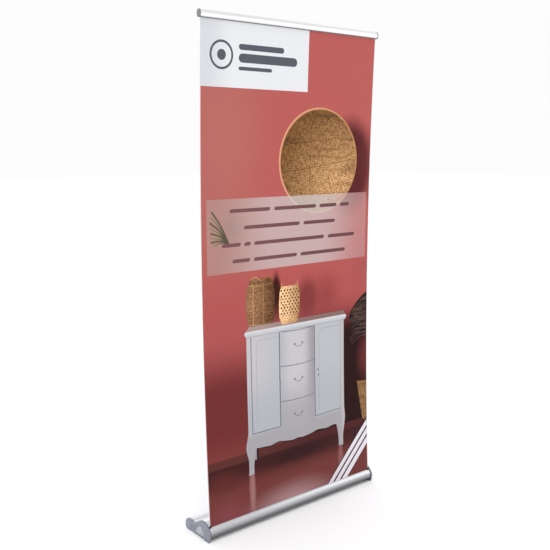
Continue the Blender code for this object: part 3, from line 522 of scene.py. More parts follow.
def lay_out():
    """The picture as (outline, ink) pairs, painted in this order."""
    wall, veiled_wall = wall_paint("wall_ink"), wall_paint("veiled_wall_ink", True)
    # Painted shade: the white ink darkens towards the sheet's left edge, from u = 0.16 m to 0.02 m
    white = flat_ink("white_ink", (214, 215, 219), (230, 231, 234), 0.02, 0.16)
    tray = [(190, 148, 100), (144, 104, 62), (84, 54, 27)]
    tray_light = ((0.74, 0.66), (0.42, 0.42))
    shapes = [(oblong(0, 0, 914, 2000), wall)]

    def paint(outline, ink):
        shapes.append((outline, ink))

    # Floor and skirting
    paint(oblong(0, 1735, 914, 1778), skirting_paint())
    paint(oblong(0, 1778, 914, 2000), floor_paint())

    # Woven tray on the wall, its lower part behind the caption panel
    rim = flat_ink("tray_rim_ink", (222, 158, 122), (196, 140, 92), 0.45, 0.80)
    weave = woven("tray_ink", *tray, 0.0052, tray_light, bands=26.0)
    paint(oval(606, 526, 223, 223), rim)
    paint(oval(608, 527, 216, 216), weave)
    seam = flat_ink("seam_ink", (92, 58, 30), (132, 94, 54), 0.40, 0.80)
    across = [[(412, 458), (600, 440), (798, 424)], [(400, 572), (600, 548), (814, 520)]]
    for points in (*across, [(560, 318), (552, 660)]):
        paint(stroke(soft_line(points), 3.0, 2.0), seam)

    # Caption panel
    caption_top, caption_bottom = 669, 965
    veiled_rim = flat_ink("veiled_rim_ink", (214, 178, 140), veiled=True)
    veiled_weave = woven("veiled_tray_ink", *tray, 0.0052, tray_light, True)
    paint(oblong(27, caption_top, 896, caption_bottom), veiled_wall)

    def below(outline, level):
        return [(u, max(v, level)) for u, v in outline]

    paint(below(oval(606, 526, 223, 223), caption_top), veiled_rim)
    paint(below(oval(608, 527, 216, 216), caption_top), veiled_weave)
    leaf = flat_ink("leaf_ink", (66, 66, 50), (58, 54, 44), 0.05, 0.13)
    pale_leaf = flat_ink("pale_leaf_ink", (162, 146, 114), (104, 92, 72), 0.05, 0.13)
    tips = [(50, 716), (44, 735), (41, 758), (42, 780), (45, 800), (44, 820), (46, 836), (58, 850)]
    for i, (u, v) in enumerate(tips):
        bend = (0.45 * u + 0.55 * 128, 0.5 * v + 0.5 * 846 - 8)
        line = soft_line([(134, 850), bend, (u, v)], 6)
        paint(stroke(line, 4.0, 9.0), pale_leaf if i % 2 else leaf)
        paint(stroke(line, 1.0, 2.0), leaf if i % 2 else pale_leaf)
    word = flat_ink("caption_ink", (120, 82, 84), (108, 72, 74), 0.1, 0.8)
    rows = [
        (717, [(136, 340), (362, 592), (612, 712), (734, 788)]),
        (786, [(206, 500), (522, 704)]),
        (853, [(98, 190), (208, 240), (258, 640), (664, 824)]),
        (919, [(148, 236), (256, 486), (506, 768)]),
    ]
    for middle, words in rows:
        for left, right in words:
            paint(pill(left, middle, right, 15, 0.25), word)

    # White header with a plain mark
    mark = flat_ink("mark_ink", (88, 92, 100))
    paint(oblong(0, 0, 530, 243), white)
    paint(oval(96, 124, 54, 54), mark)
    paint(oval(96, 124, 45, 45), white)
    paint(oval(96, 124, 20, 20), mark)
    for top, right, height in ((84, 400, 22), (122, 470, 34), (166, 340, 14)):
        paint(pill(176, top + height / 4, right, height), mark)

    # Baskets on the cabinet
    brown = [(148, 110, 76), (116, 80, 54), (66, 38, 24)]
    wicker = woven("lantern_ink", *brown, 0.0045, ((0.25, 1.10), (0.13, 0.22)), bands=170.0)
    body = [(240, 1212), (224, 1190), (215, 1160), (212, 1110), (215, 1056), (223, 1026), (238, 1002)]
    body += [(341, 1002), (354, 1024), (362, 1056), (364, 1110), (362, 1160), (355, 1190), (342, 1212)]
    paint(body, wicker)
    rib = flat_ink("rib_ink", (196, 150, 98), (150, 106, 62), 0.24, 0.33)
    for u in (250, 304):
        paint(stroke([(u, 1022), (u, 1196)], 4), rib)
    for v in (1028, 1192):
        paint(stroke([(226, v), (290, v + 5), (352, v)], 3), rib)
    paint(stroke(soft_line([(238, 1004), (262, 994), (292, 1010), (330, 996), (344, 1006)]), 4), rib)
    gold = [(226, 188, 142), (204, 160, 112), (146, 104, 66)]
    lattice = woven("lattice_ink", *gold, 0.006, ((0.40, 1.12), (0.14, 0.22)))
    body = [(398, 1050), (390, 1075), (386, 1130), (388, 1180), (400, 1214)]
    body += [(486, 1214), (498, 1180), (501, 1130), (500, 1080), (494, 1050)]
    paint(body, lattice)
    horn = flat_ink("horn_ink", (206, 160, 104))
    paint(stroke([(400, 1056), (404, 1034)], 5, 3), horn)
    paint(stroke([(490, 1056), (488, 1034)], 5, 3), horn)
    hole = flat_ink("hole_ink", (92, 58, 32))
    for row in range(11):
        for column in range(6):
            u = 400 + 17 * column + 8.5 * (row % 2)
            v = 1068 + 12.5 * row
            if u < 494:
                paint([(u - 5, v), (u, v - 6), (u + 5, v), (u, v + 6)], hole)

    # Cabinet: feet and apron, body, top
    cabinet = cabinet_paint()
    edge = flat_ink("edge_ink", (110, 110, 124), (124, 122, 128), 0.23, 0.60)
    soft_edge = flat_ink("soft_edge_ink", (166, 166, 172), (160, 160, 166), 0.25, 0.74)
    shadow = flat_ink("underside_ink", (40, 20, 22))
    paint(oblong(240, 1715, 252, 1776), flat_ink("back_leg_ink", (150, 140, 146)))
    paint(oblong(252, 1715, 262, 1776), shadow)
    left_leg = [(212, 1655), (205, 1682), (199, 1712), (202, 1740), (210, 1772), (210, 1822), (206, 1836)]
    left_inner = soft_line([(236, 1836), (237, 1800), (241, 1770), (252, 1727)])
    wave = [(252, 1727), (302, 1731), (330, 1733), (372, 1726), (402, 1731), (452, 1738), (482, 1735)]
    wave += [(512, 1738), (562, 1733), (602, 1726), (652, 1731), (690, 1726), (714, 1727)]
    right_inner = soft_line([(714, 1727), (722, 1760), (727, 1800), (728, 1835)])
    right_leg = soft_line([(755, 1835), (756, 1784), (764, 1740), (769, 1706), (768, 1680), (765, 1655)])
    wave_line = soft_line(wave)
    paint([(u, v + 4) for u, v in wave_line] + [(714, 1715), (252, 1715)], shadow)
    paint(soft_line(left_leg) + left_inner[:-1] + wave_line + right_inner[1:] + right_leg, cabinet)
    paint(oblong(212, 1238, 765, 1662), cabinet)
    paint(oblong(392, 1243, 586, 1684), drawer_paint())
    for u, width in ((235, 4), (387, 6), (587, 5)):
        paint(stroke([(u, 1244), (u, 1661)], width), edge)
    paint(stroke([(742, 1244), (742, 1658)], 3), soft_edge)
    paint(stroke([(235, 1661), (387, 1662)], 4), edge)
    paint(stroke([(587, 1660), (742, 1657)], 4), edge)
    for v in (1246, 1399, 1555):
        sagging = [(392, v - 2), (440, v + 2), (490, v + 4), (540, v + 2), (586, v - 2)]
        paint(stroke(soft_line(sagging), 3.5), edge)
    for left, right, bottom in ((262, 380, 1640), (612, 736, 1636)):
        paint(frame_outline(left, 1264, right, bottom, 26, 2.5), soft_edge)
    for u, v in ((386, 1438), (606, 1442)):
        paint(stroke([(u, v), (u, v + 12)], 7), edge)
        paint(stroke([(u + 2, v + 24), (u + 2, v + 38)], 6), edge)
    for u, v in ((494, 1310), (492, 1466), (489, 1622)):
        paint(oval(u - 22, v, 5, 5, 12), edge)
        paint(oval(u + 22, v, 5, 5, 12), edge)
        pull = [(u + du, v + dv) for du, dv in ((-20, 2), (-12, 11), (0, 13), (12, 11), (20, 2))]
        paint(stroke(soft_line(pull), 3), edge)
    top_face = flat_ink("cabinet_top_ink", (170, 146, 142), (136, 108, 103), 0.25, 0.55)
    top_edge = flat_ink("cabinet_edge_ink", (214, 213, 217), (190, 192, 196), 1.218, 1.242, "v")
    paint([(226, 1199), (762, 1199), (776, 1220), (208, 1220)], top_face)
    slab = soft_line([(208, 1219), (202, 1228), (210, 1242)], 5)
    paint(slab + soft_line([(772, 1242), (781, 1228), (775, 1219)], 5), top_edge)
    paint(stroke([(212, 1243), (768, 1243)], 3), soft_edge)
    paint([(u, v) for u, v in body if v > 1170] + [(388, 1180)], lattice)

    # Palm and basket at the right
    palm = palm_paint()
    blade = flat_ink("blade_ink", (112, 86, 74), (84, 62, 54), 0.80, 0.91)
    crown = soft_line([(930, 1120), (880, 1146), (836, 1180), (806, 1216), (800, 1250), (816, 1272)])
    paint(crown + [(846, 1322), (930, 1350)], palm)
    for i in range(9):
        start, end = (930, 1196 + 17 * i), (812 - 2 * i + 10 * (i % 3), 1262 + 13 * i)
        line = soft_line([start, (872, 0.5 * (start[1] + end[1]) - 12), end])
        paint(stroke(line, 11 if i % 2 else 7, 2), palm)
        paint(stroke(line, 2, 1), blade)
    for i in range(5):
        line = soft_line([(930, 1150 + 20 * i), (880, 1170 + 17 * i), (822 + 6 * i, 1216 + 12 * i)])
        paint(stroke(line, 2.5, 1), blade)
    straw = [(154, 118, 78), (130, 94, 60), (86, 58, 34)]
    paint([(849, 1552), (920, 1560), (920, 1766), (882, 1734)], woven("pot_ink", *straw, 0.010, bands=70.0))
    paint(stroke([(849, 1552), (920, 1562)], 5), rib)

    # Diagonal bands in the lower right corner
    band = flat_ink("band_ink", (216, 206, 212), (228, 222, 228), 0.65, 0.85)
    line_ink = flat_ink("band_line_ink", (34, 16, 20))
    paint([(639, 2010), (771, 2010), (926, 1855), (926, 1723)], line_ink)
    for start, width in ((645, 30), (687, 31), (730, 35)):
        paint([(start, 2010), (start + width, 2010), (start + width + 280, 1734), (start + 280, 1734)], band)
    margin = flat_ink("margin_ink", (216, 194, 194), (208, 186, 186))
    paint(oblong(0, 243, 3, 2000), margin)
    paint(oblong(911, 0, 914, 2000), margin)
    return shapes


# --- Sheet meshes ---


def clipped(outline, width, height):
    """The part of an outline inside the sheet."""
    sides = [(0, 0, 1), (0, width, -1), (1, 0, 1), (1, height, -1)]
    for axis, limit, sign in sides:
        kept = []
        for a, b in zip(outline, outline[1:] + outline[:1]):
            inside_a, inside_b = sign * (a[axis] - limit) >= 0, sign * (b[axis] - limit) >= 0
            if inside_a:
                kept.append(a)
            if inside_a != inside_b:
                share = (limit - a[axis]) / (b[axis] - a[axis])
                kept.append((a[0] + share * (b[0] - a[0]), a[1] + share * (b[1] - a[1])))
        outline = kept
    return outline


def inside(outline, u, v):
    hit = False
    for (u0, v0), (u1, v1) in zip(outline, outline[1:] + outline[:1]):
        if (v0 > v) != (v1 > v) and u < u0 + (v - v0) * (u1 - u0) / (v1 - v0):
            hit = not hit
    return hit


def bow_at(v):
    """How far the sheet bows back, at v metres below the rail."""
    share = min(max(v / VISIBLE_HEIGHT, 0), 1)
    return SHEET_BOW * 4 * share * (1 - share)


def make_print(back_film):
    """The printed sheet: the picture's outlines cut into one thin closed sheet."""
    width, height = 1000 * SHEET_WIDTH, 1000 * VISIBLE_HEIGHT
    shapes = [(clipped(outline, width, height), ink) for outline, ink in lay_out()]
    shapes = [(outline, ink) for outline, ink in shapes if len(outline) > 2]
    points, edges = [], []
    for outline, _ in shapes:
        first = len(points)
        points += [Vector(point) for point in outline]
        edges += [(first + i, first + (i + 1) % len(outline)) for i in range(len(outline))]
    for i in range(1, BOW_ROWS):
        level = height * i / BOW_ROWS
        edges.append((len(points), len(points) + 1))
        points += [Vector((0, level)), Vector((width, level))]
    flat, _, faces, *_ = geometry.delaunay_2d_cdt(points, edges, [], 0, WELD_MM)

    boxes = [[pick(values) for values in zip(*outline) for pick in (min, max)] for outline, _ in shapes]
    inks = list(dict.fromkeys(ink for _, ink in shapes))
    bm = bmesh.new()
    layer = bm.verts.layers.float_vector.new("print_place")

    def printed_side(offset):
        verts = []
        for u, v in ((point.x / 1000, point.y / 1000) for point in flat):
            verts.append(bm.verts.new((u - SHEET_WIDTH / 2, SHEET_Y + bow_at(v) + offset, RAIL_BOTTOM - v)))
            verts[-1][layer] = (u, v, 0)
        return verts

    front, back = printed_side(-SHEET_THICKNESS / 2), printed_side(SHEET_THICKNESS / 2)
    border = {}
    for face in faces:
        u, v = (sum(flat[i][axis] for i in face) / 3 for axis in (0, 1))
        chosen = 0
        for index in range(len(shapes) - 1, -1, -1):
            low_u, high_u, low_v, high_v = boxes[index]
            if low_u <= u <= high_u and low_v <= v <= high_v and inside(shapes[index][0], u, v):
                chosen = inks.index(shapes[index][1])
                break
        near = bm.faces.new([front[i] for i in face])
        near.material_index = chosen
        far = bm.faces.new([back[i] for i in reversed(face)])
        far.material_index = len(inks)
        for a, b in zip(face, (*face[1:], face[0])):
            if (b, a) in border:
                del border[(b, a)]
            else:
                border[(a, b)] = True
    for a, b in border:
        side = bm.faces.new([front[b], front[a], back[a], back[b]])
        side.material_index = len(inks)
    return finish_mesh("banner_print", bm, [*inks, back_film], 40)


def finish_mesh(name, bm, materials, angle=SHARP_ANGLE):
    bmesh.ops.recalc_face_normals(bm, faces=bm.faces)
    mesh = bpy.data.meshes.new(name)
    bm.to_mesh(mesh)
    bm.free()
    for material in materials:
        mesh.materials.append(material)
    mesh.shade_smooth()
    mesh.set_sharp_from_angle(angle=math.radians(angle))
    obj = bpy.data.objects.new(name, mesh)
    bpy.context.scene.collection.objects.link(obj)
    return obj


# --- Outlines of the hardware ---


def side_curve():
    """The outline of an end cap over the top, from its front foot to its rear foot, y from the sheet."""
    nose, hump, valley, rear_top = -NOSE_REACH, HUMP_BEHIND, VALLEY_BEHIND, REAR - REAR_ROUND
    crest, dip, lobe = HUMP_HEIGHT, VALLEY_HEIGHT, REAR_TOP_HEIGHT
    knots = [
        # knot, handle in, handle out
        ((nose + FOOT_SETBACK, 0), None, (nose + 0.8 * FOOT_SETBACK, 0.25 * NOSE_HEIGHT)),
        ((nose, NOSE_HEIGHT), (nose, 0.55 * NOSE_HEIGHT), (nose, 0.68 * NOSE_HEIGHT + 0.32 * crest)),
        ((hump, crest), (0.38 * hump + 0.372 * nose, crest), (0.67 * hump + 0.33 * valley, crest)),
        ((valley, dip), (0.28 * hump + 0.72 * valley, dip), (0.6 * valley + 0.4 * rear_top, dip)),
        ((rear_top, lobe), (0.4 * valley + 0.6 * rear_top, lobe), (rear_top + 0.56 * REAR_ROUND, lobe)),
        ((REAR, lobe - REAR_ROUND), (REAR, lobe - 0.42 * REAR_ROUND), (REAR, 0.45 * (lobe - REAR_ROUND))),
        ((REAR - REAR_FOOT_SETBACK, 0), (REAR - 0.55 * REAR_FOOT_SETBACK, 0.001), None),
    ]
    points = []
    for (start, _, leave), (end, arrive, _) in zip(knots, knots[1:]):
        stretch = geometry.interpolate_bezier(start, leave, arrive, end, CURVE_STEPS)
        points += [tuple(point.xy) for point in stretch[:-1]]
    return [*points, knots[-1][0]]


def inset(points, distance):
    """An outline that runs front to rear over the top, moved inwards."""
    moved = []
    for i, (y, z) in enumerate(points):
        before, after = points[max(i - 1, 0)], points[min(i + 1, len(points) - 1)]
        along = Vector((after[0] - before[0], after[1] - before[1])).normalized()
        moved.append((y + distance * along.y, z - distance * along.x))
    return moved


def above(points, height):
    """The stretch of an outline over a given height, with its ends on that height."""
    kept = []
    for (y0, z0), (y1, z1) in zip(points, points[1:]):
        if z0 >= height:
            kept.append((y0, z0))
        if (z0 - height) * (z1 - height) < 0:
            share = (height - z0) / (z1 - z0)
            kept.append((y0 + share * (y1 - y0), height))
    if points[-1][1] >= height:
        kept.append(points[-1])
    return kept


def split_at(points, where):
    """An outline in two, where it first passes y = where on its way to the rear."""
    for i, ((y0, z0), (y1, z1)) in enumerate(zip(points, points[1:])):
        if y0 < where <= y1:
            share = (where - y0) / (y1 - y0)
            middle = (where, z0 + share * (z1 - z0))
            return points[: i + 1] + [middle], [middle] + points[i + 1 :]
    raise ValueError("the outline never reaches that depth")


def height_at(points, where):
    return split_at(points, where)[1][0][1]


def circle(y, z, radius, steps=40):
    return oval(y, z, radius, radius, steps)


def arc(y, z, radius, first, last, steps, tall=None):
    """Points from one angle to another, in degrees, both included, on a circle or an upright oval."""
    tall = radius if tall is None else tall
    angles = [math.radians(first + (last - first) * i / steps) for i in range(steps + 1)]
    return [(y + radius * math.cos(t), z + tall * math.sin(t)) for t in angles]


def on_rail(half_depth, half_height, first, last, steps):
    """The same on the rail's oval."""
    return arc(0, RAIL_Z, half_depth, first, last, steps, half_height)


def soften(outline, reach, steps=5, sharp=28):
    """A closed outline with each sharp corner rounded off from reach before it to reach after it."""
    points = [Vector(point) for point in outline]
    count = len(points)
    ways = [0.0]
    for a, b in zip(points, points[1:] + points[:1]):
        ways.append(ways[-1] + (b - a).length)
    total = ways.pop()

    def at(way):
        way %= total
        i = max(j for j in range(count) if ways[j] <= way)
        a, b = points[i], points[(i + 1) % count]
        return a.lerp(b, min((way - ways[i]) / max((b - a).length, 1e-9), 1))

    def bend(i):
        return (points[i] - points[i - 1]).angle(points[(i + 1) % count] - points[i], 0)

    corners = [i for i in range(count) if bend(i) > math.radians(sharp)]
    reaches = {}
    for before, i, after in zip(corners[-1:] + corners, corners, corners[1:] + corners[:1]):
        near = [(ways[i] - ways[before]) % total, (ways[after] - ways[i]) % total]
        room = min([0.45 * way for way in near if way > 0], default=reach)
        reaches[i] = min(reach, room)
    softened = []
    for i in range(count):
        if i in reaches:
            start, end = at(ways[i] - reaches[i]), at(ways[i] + reaches[i])
            for step in range(steps + 1):
                t = step / steps
                softened.append(tuple(start * (1 - t) ** 2 + points[i] * 2 * t * (1 - t) + end * t**2))
        elif all(min(abs(ways[i] - ways[c]), total - abs(ways[i] - ways[c])) > reaches[c] for c in corners):
            softened.append(outline[i])
    return softened


def shrunk(outline, amount):
    """A closed outline moved inwards by amount."""
    area = sum(a[0] * b[1] - b[0] * a[1] for a, b in zip(outline, outline[1:] + outline[:1]))
    turn = 1 if area < 0 else -1
    moved = []
    for i, point in enumerate(outline):
        here = Vector(point)
        first = (here - Vector(outline[i - 1])).normalized()
        second = (Vector(outline[(i + 1) % len(outline)]) - here).normalized()
        along = (first + second).normalized()
        stretch = amount / max(math.cos(first.angle(second, 0) / 2), 0.5)
        moved.append((here.x + turn * stretch * along.y, here.y - turn * stretch * along.x))
    return moved


def rounded_end(radius, steps=5):
    """(way back from the end, inset) pairs of a rounded end, from its side to its face."""
    turns = [math.pi / 2 * i / steps for i in range(steps + 1)]
    return [(radius * (1 - math.sin(t)), radius * (1 - math.cos(t))) for t in turns]


OUTER = above(inset(side_curve(), CAP_LIP), HOUSING_FLOOR)
INNER = above(inset(side_curve(), CAP_LIP + WALL), HOUSING_FLOOR + WALL)


# --- Ways to make a mesh ---


def fill_between(bm, *loops):
    edges = []
    for loop in loops:
        for a, b in zip(loop, loop[1:] + loop[:1]):
            edges.append(bm.edges.get((a, b)) or bm.edges.new((a, b)))
    bmesh.ops.triangle_fill(bm, use_beauty=True, edges=edges)


def from_sheet(x, y, z):
    """Where a section's point lies, with its y counted from the sheet."""
    return (x, SHEET_Y + y, z)


def loft(bm, outline, stations, place=from_sheet):
    """Walls through (station, inset) pairs of one outline. Gives the first and the last ring."""
    rings = []
    for station, amount in stations:
        ring = shrunk(outline, amount) if amount else outline
        rings.append([bm.verts.new(place(station, *point)) for point in ring])
    for first, second in zip(rings, rings[1:]):
        for i in range(len(first)):
            j = (i + 1) % len(first)
            bm.faces.new([first[i], first[j], second[j], second[i]])
    return rings[0], rings[-1]


def lofted(name, outlines, stations, material, place=from_sheet):
    """A closed piece through stations. The outlines after the first are holes, so they widen at an inset."""
    bm = bmesh.new()
    holes = [(station, -amount) for station, amount in stations]
    ends = []
    for number, outline in enumerate(outlines):
        ends.append(loft(bm, outline, holes if number else stations, place))
    for rings in zip(*ends):
        fill_between(bm, *rings)
    return finish_mesh(name, bm, [material])


def lengthwise(name, outlines, start, end, material, soft=0.0):
    """A piece of one (y, z) section, holes included, from x = start to x = end, with softened ends."""
    low, high = sorted((start, end))
    ends = rounded_end(soft, 3) if soft else [(0.0, 0.0)]
    stations = [(low + back, step) for back, step in reversed(ends)]
    stations += [(high - back, step) for back, step in ends]
    return lofted(name, outlines, stations, material)


def lathe(name, profile, material, steps=72, matrix=None, flutes=0, depth=0.0, fluted=()):
    """A piece turned about Z from a closed (radius, z) profile. Points in fluted carry finger flutes."""
    steps = flutes * 8 if flutes else steps
    bm = bmesh.new()
    rings = []
    for number, (radius, z) in enumerate(profile):
        if radius < 1e-7:
            rings.append([bm.verts.new((0, 0, z))])
            continue
        ring = []
        for i in range(steps):
            turn = 2 * math.pi * i / steps
            dip = depth * (0.5 - 0.5 * math.cos(flutes * turn)) ** 2 if number in fluted else 0
            ring.append(bm.verts.new(((radius - dip) * math.cos(turn), (radius - dip) * math.sin(turn), z)))
        rings.append(ring)
    for a, b in zip(rings, rings[1:] + rings[:1]):
        for i in range(steps):
            j = (i + 1) % steps
            corners = [a[i % len(a)], a[j % len(a)], b[j % len(b)], b[i % len(b)]]
            corners = list(dict.fromkeys(corners))
            if len(corners) > 2:
                bm.faces.new(corners)
    if matrix:
        bm.transform(matrix)
    return finish_mesh(name, bm, [material])


def cut(obj, tool, operation="DIFFERENCE"):
    """Cuts tool from obj, or joins it on, and keeps only the result."""
    modifier = obj.modifiers.new("cut", "BOOLEAN")
    modifier.operation = operation
    modifier.solver = "EXACT"
    modifier.object = tool
    bpy.context.view_layer.update()
    shaped = obj.evaluated_get(bpy.context.evaluated_depsgraph_get())
    mesh = bpy.data.meshes.new_from_object(shaped)
    obj.modifiers.clear()
    obj.data = mesh
    mesh.name = obj.name
    mesh.shade_smooth()
    mesh.set_sharp_from_angle(angle=math.radians(SHARP_ANGLE))
    bpy.data.objects.remove(tool)
    return obj


def fit(obj, body, slot, *nodes):
    """Puts a finished piece on its body and hides the CAD nodes that it stands for. Its finish, slot, is not
    used.
    """
    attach(obj, body)
    if nodes:
        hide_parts(*nodes)


# --- Cassette ---


def screw_places():
    """Where the three end screws go, as (y, z)."""
    corner = HOUSING_FLOOR + WALL + 0.8 * BOSS_RADIUS
    return [
        (INNER[0][0] + 1.1 * BOSS_RADIUS, corner),
        (RIB_BEHIND + WALL / 2 + 0.7 * BOSS_RADIUS, height_at(INNER, RIB_BEHIND) - 2 * BOSS_RADIUS),
        (INNER[-1][0] - 0.9 * BOSS_RADIUS, corner),
    ]


def grooved(points, places, half_width, depth):
    """An outline over the top with shallow grooves. Points that a groove has overtaken are dropped."""
    made = []
    for (y0, z0), (y1, z1) in zip(points, points[1:]):
        made.append((y0, z0))
        for place in places:
            if y0 < place <= y1:
                z = z0 + (place - y0) / (y1 - y0) * (z1 - z0)
                made += [(place - half_width, z), (place - 0.4 * half_width, z - depth)]
                made += [(place + 0.4 * half_width, z - depth), (place + half_width, z)]
    made.append(points[-1])
    kept = [made[0]]
    for y, z in made[1:]:
        if y > kept[-1][0] or z <= HOUSING_FLOOR + REAR_ROUND / 2:
            kept.append((y, z))
    return kept


def make_housing(metal):
    """The extrusion: roller chamber open at the sheet's slot, closed rear chamber, decorative grooves."""
    half_slot = SLOT_WIDTH / 2
    front_outer, _ = split_at(OUTER, -half_slot)
    _, rear_outer = split_at(OUTER, half_slot)
    front_inner, _ = split_at(INNER, -half_slot)
    _, top_inner = split_at(INNER, half_slot)
    over_roller, _ = split_at(top_inner, RIB_BEHIND - WALL / 2)
    _, over_rear = split_at(INNER, RIB_BEHIND + WALL / 2)
    floor = HOUSING_FLOOR + WALL
    reach = SOCKET_RADIUS + SOCKET_FLANGE + GROOVE_GAP
    grooves = [VALLEY_BEHIND - reach, VALLEY_BEHIND + reach]
    rear_outer = grooved(rear_outer, grooves, GROOVE_HALF_WIDTH, GROOVE_DEPTH)
    rib_foot = (RIB_BEHIND - WALL / 2, floor)
    shell = front_outer + front_inner[::-1] + [rib_foot] + over_roller[::-1] + rear_outer
    shell = soften(shell, 0.0007, 4, 50)
    rear_chamber = over_rear + [(RIB_BEHIND + WALL / 2, floor)]
    half = (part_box("housing")[1][0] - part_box("housing")[0][0]) / 2
    housing = lengthwise("cassette_shell", [shell, rear_chamber], -half, half, metal)
    hole, seat = SOCKET_RADIUS + GAP, SOCKET_RADIUS + SOCKET_FLANGE + GAP
    stepped = [(0, -SOCKET_FLOOR), (hole, -SOCKET_FLOOR), (hole, SOCKET_SEAT), (seat, SOCKET_SEAT)]
    stepped += [(seat, 2 * HUMP_HEIGHT), (0, 2 * HUMP_HEIGHT)]
    cut(housing, lathe("socket_hole", stepped, metal, 96, POLE_FRAME))
    for y, z in screw_places():
        cut(housing, lengthwise("boss", [circle(y, z, BOSS_RADIUS)], -half, half, metal), "UNION")
        over = half + WALL
        cut(housing, lengthwise("port", [circle(y, z, SCREW_RADIUS + GAP)], -over, over, metal))
    fit(housing, "base", "anodised", "housing")


def make_bearing_plate(side, name, material):
    """The black plate across the end of the extrusion."""
    (start, *_), (end, *_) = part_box(f"{name}_end_plate")
    holes = [circle(y, z, SCREW_RADIUS + 2 * GAP) for y, z in screw_places()]
    level = HOUSING_FLOOR + 4 * PEG_RADIUS
    for y in (RIB_BEHIND + 0.25 * (REAR - RIB_BEHIND), REAR - 0.8 * REAR_ROUND):
        holes.append(circle(y, level, PEG_RADIUS + GAP))
    if side < 0:
        reach = AXLE_HEAD_SIDE / 2 + GAP
        corners = [(-reach, -reach), (reach, -reach), (reach, reach), (-reach, reach)]
        holes.append([(ROLLER_BEHIND + y, ROLLER_HEIGHT + z) for y, z in corners])
    else:
        holes.append(circle(ROLLER_BEHIND, ROLLER_HEIGHT, BUSH_RADIUS + GAP))
    plate = lengthwise(f"{name}_bearing_plate", [soften(OUTER, 0.0012), *holes], start, end, material)
    fit(plate, "base", "moulding", f"{name}_end_plate")


def relief_outline():
    """The kidney-shaped panel sunk into the outer face of an end cap."""
    low, crest = RELIEF_FOOT, RELIEF_CREST
    front, rear = RELIEF_FRONT, RELIEF_REAR
    rise, across = crest - low, rear - front
    top = (front + 0.48 * across, crest)
    up = ((front, low), (front - 0.001, low + 0.5 * rise), (front + 0.13 * across, crest), top)
    down = (top, (front + 0.83 * across, crest), (rear - 0.002, low + 0.55 * rise), (rear + 0.010, low))
    rising = geometry.interpolate_bezier(*up, CURVE_STEPS)
    falling = geometry.interpolate_bezier(*down, CURVE_STEPS)
    return [tuple(point.xy) for point in rising[:-1] + falling]


def make_plated_cap(side, name, material, relief):
    """An end cap: a shell with rounded edges and a sunk kidney-shaped panel in its outer face."""
    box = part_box(f"{name}_end_cap")
    outer = max(abs(box[0][0]), abs(box[1][0]))
    inner = side * (outer - CAP_THICKNESS)
    outline = soften(above(side_curve(), FOOT_HEIGHT), 0.0028, 8)
    hollow = soften(above(inset(side_curve(), CAP_WALL), FOOT_HEIGHT + CAP_WALL), 0.003, 6)
    panel = soften(relief_outline(), 0.004, 6)
    rounding = [(side * (outer - back), step) for back, step in rounded_end(CAP_EDGE_ROUND, 6)]
    slope = [(0.0, 0.0), (0.12, 0.25), (0.5, 0.55), (0.88, 0.85), (1.0, 1.1)]
    sinking = [(side * (outer - share * RELIEF_DEPTH), step * RELIEF_DEPTH) for share, step in slope]
    bm = bmesh.new()
    foot, face = loft(bm, outline, [(inner, 0.0), *rounding])
    brim, bed = loft(bm, panel, sinking)
    fill_between(bm, face, brim)
    fill_between(bm, bed)
    mouth, depth = loft(bm, hollow, [(inner, 0.0), (side * (outer - CAP_WALL), 0.0)])
    fill_between(bm, foot, mouth)
    fill_between(bm, depth)
    # The sunk panel's faces take the second, lighter plating, a painted highlight
    for face in bm.faces:
        x, y, z = face.calc_center_median()
        y -= SHEET_Y
        sunk = 1e-5 < outer - abs(x) < 1.1 * RELIEF_DEPTH
        if sunk and RELIEF_FRONT - 0.002 < y < RELIEF_REAR + 0.011 and RELIEF_FOOT - 0.001 < z < RELIEF_CREST:
            face.material_index = 1
    fit(finish_mesh(f"{name}_plated_cap", bm, [material, relief]), "base", "plating", f"{name}_end_cap")


def make_slot_guides(material):
    """Small black guides in the slot, in front of the sheet's two lower corners."""
    front, rear = -SLOT_WIDTH / 2, -GUIDE_CLEAR
    low, high, lip = SLOT_TOP - GUIDE_DEPTH, SLOT_TOP + GUIDE_RISE, front - 0.0008
    outline = soften([(front, low), (rear, low), (rear, high), (lip, high), (lip, SLOT_TOP)], 0.0006)
    for side, name in ((-1, "left"), (1, "right")):
        start, end = side * (SHEET_WIDTH / 2 - 0.007), side * (SHEET_WIDTH / 2 + 0.003)
        guide = lengthwise(f"{name}_slot_guide", [outline], start, end, material, 0.0005)
        fit(guide, "base", "moulding")


def make_pads(material):
    """The rubber feet: rounded strips with softened lower edges."""
    for node in (f"{side}_{place}_foot" for side in ("left", "right") for place in ("front", "rear")):
        low, high = (Vector(corner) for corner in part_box(node))
        middle, half = (low + high) / 2, (high - low) / 2
        outline = []
        for turn, (right, back) in enumerate(((1, 1), (-1, 1), (-1, -1), (1, -1))):
            x, y = middle.x + right * (half.x - PAD_ROUND), middle.y + back * (half.y - PAD_ROUND)
            outline += arc(x, y, PAD_ROUND, 90 * turn, 90 * turn + 90, 6)
        stations = [(high.z, 0.0), (low.z + 0.0006, 0.0), (low.z + 0.0002, 0.00025), (low.z, 0.0007)]
        pad = lofted(node.replace("foot", "pad"), [outline], stations, material, lambda z, x, y: (x, y, z))
        fit(pad, "base", "rubber", node)


# --- Rail ---


def on_oval(half_height, height):
    """The angle, in degrees, where the rear of the oval passes a height over the rail's middle."""
    return math.degrees(math.asin(height / half_height))


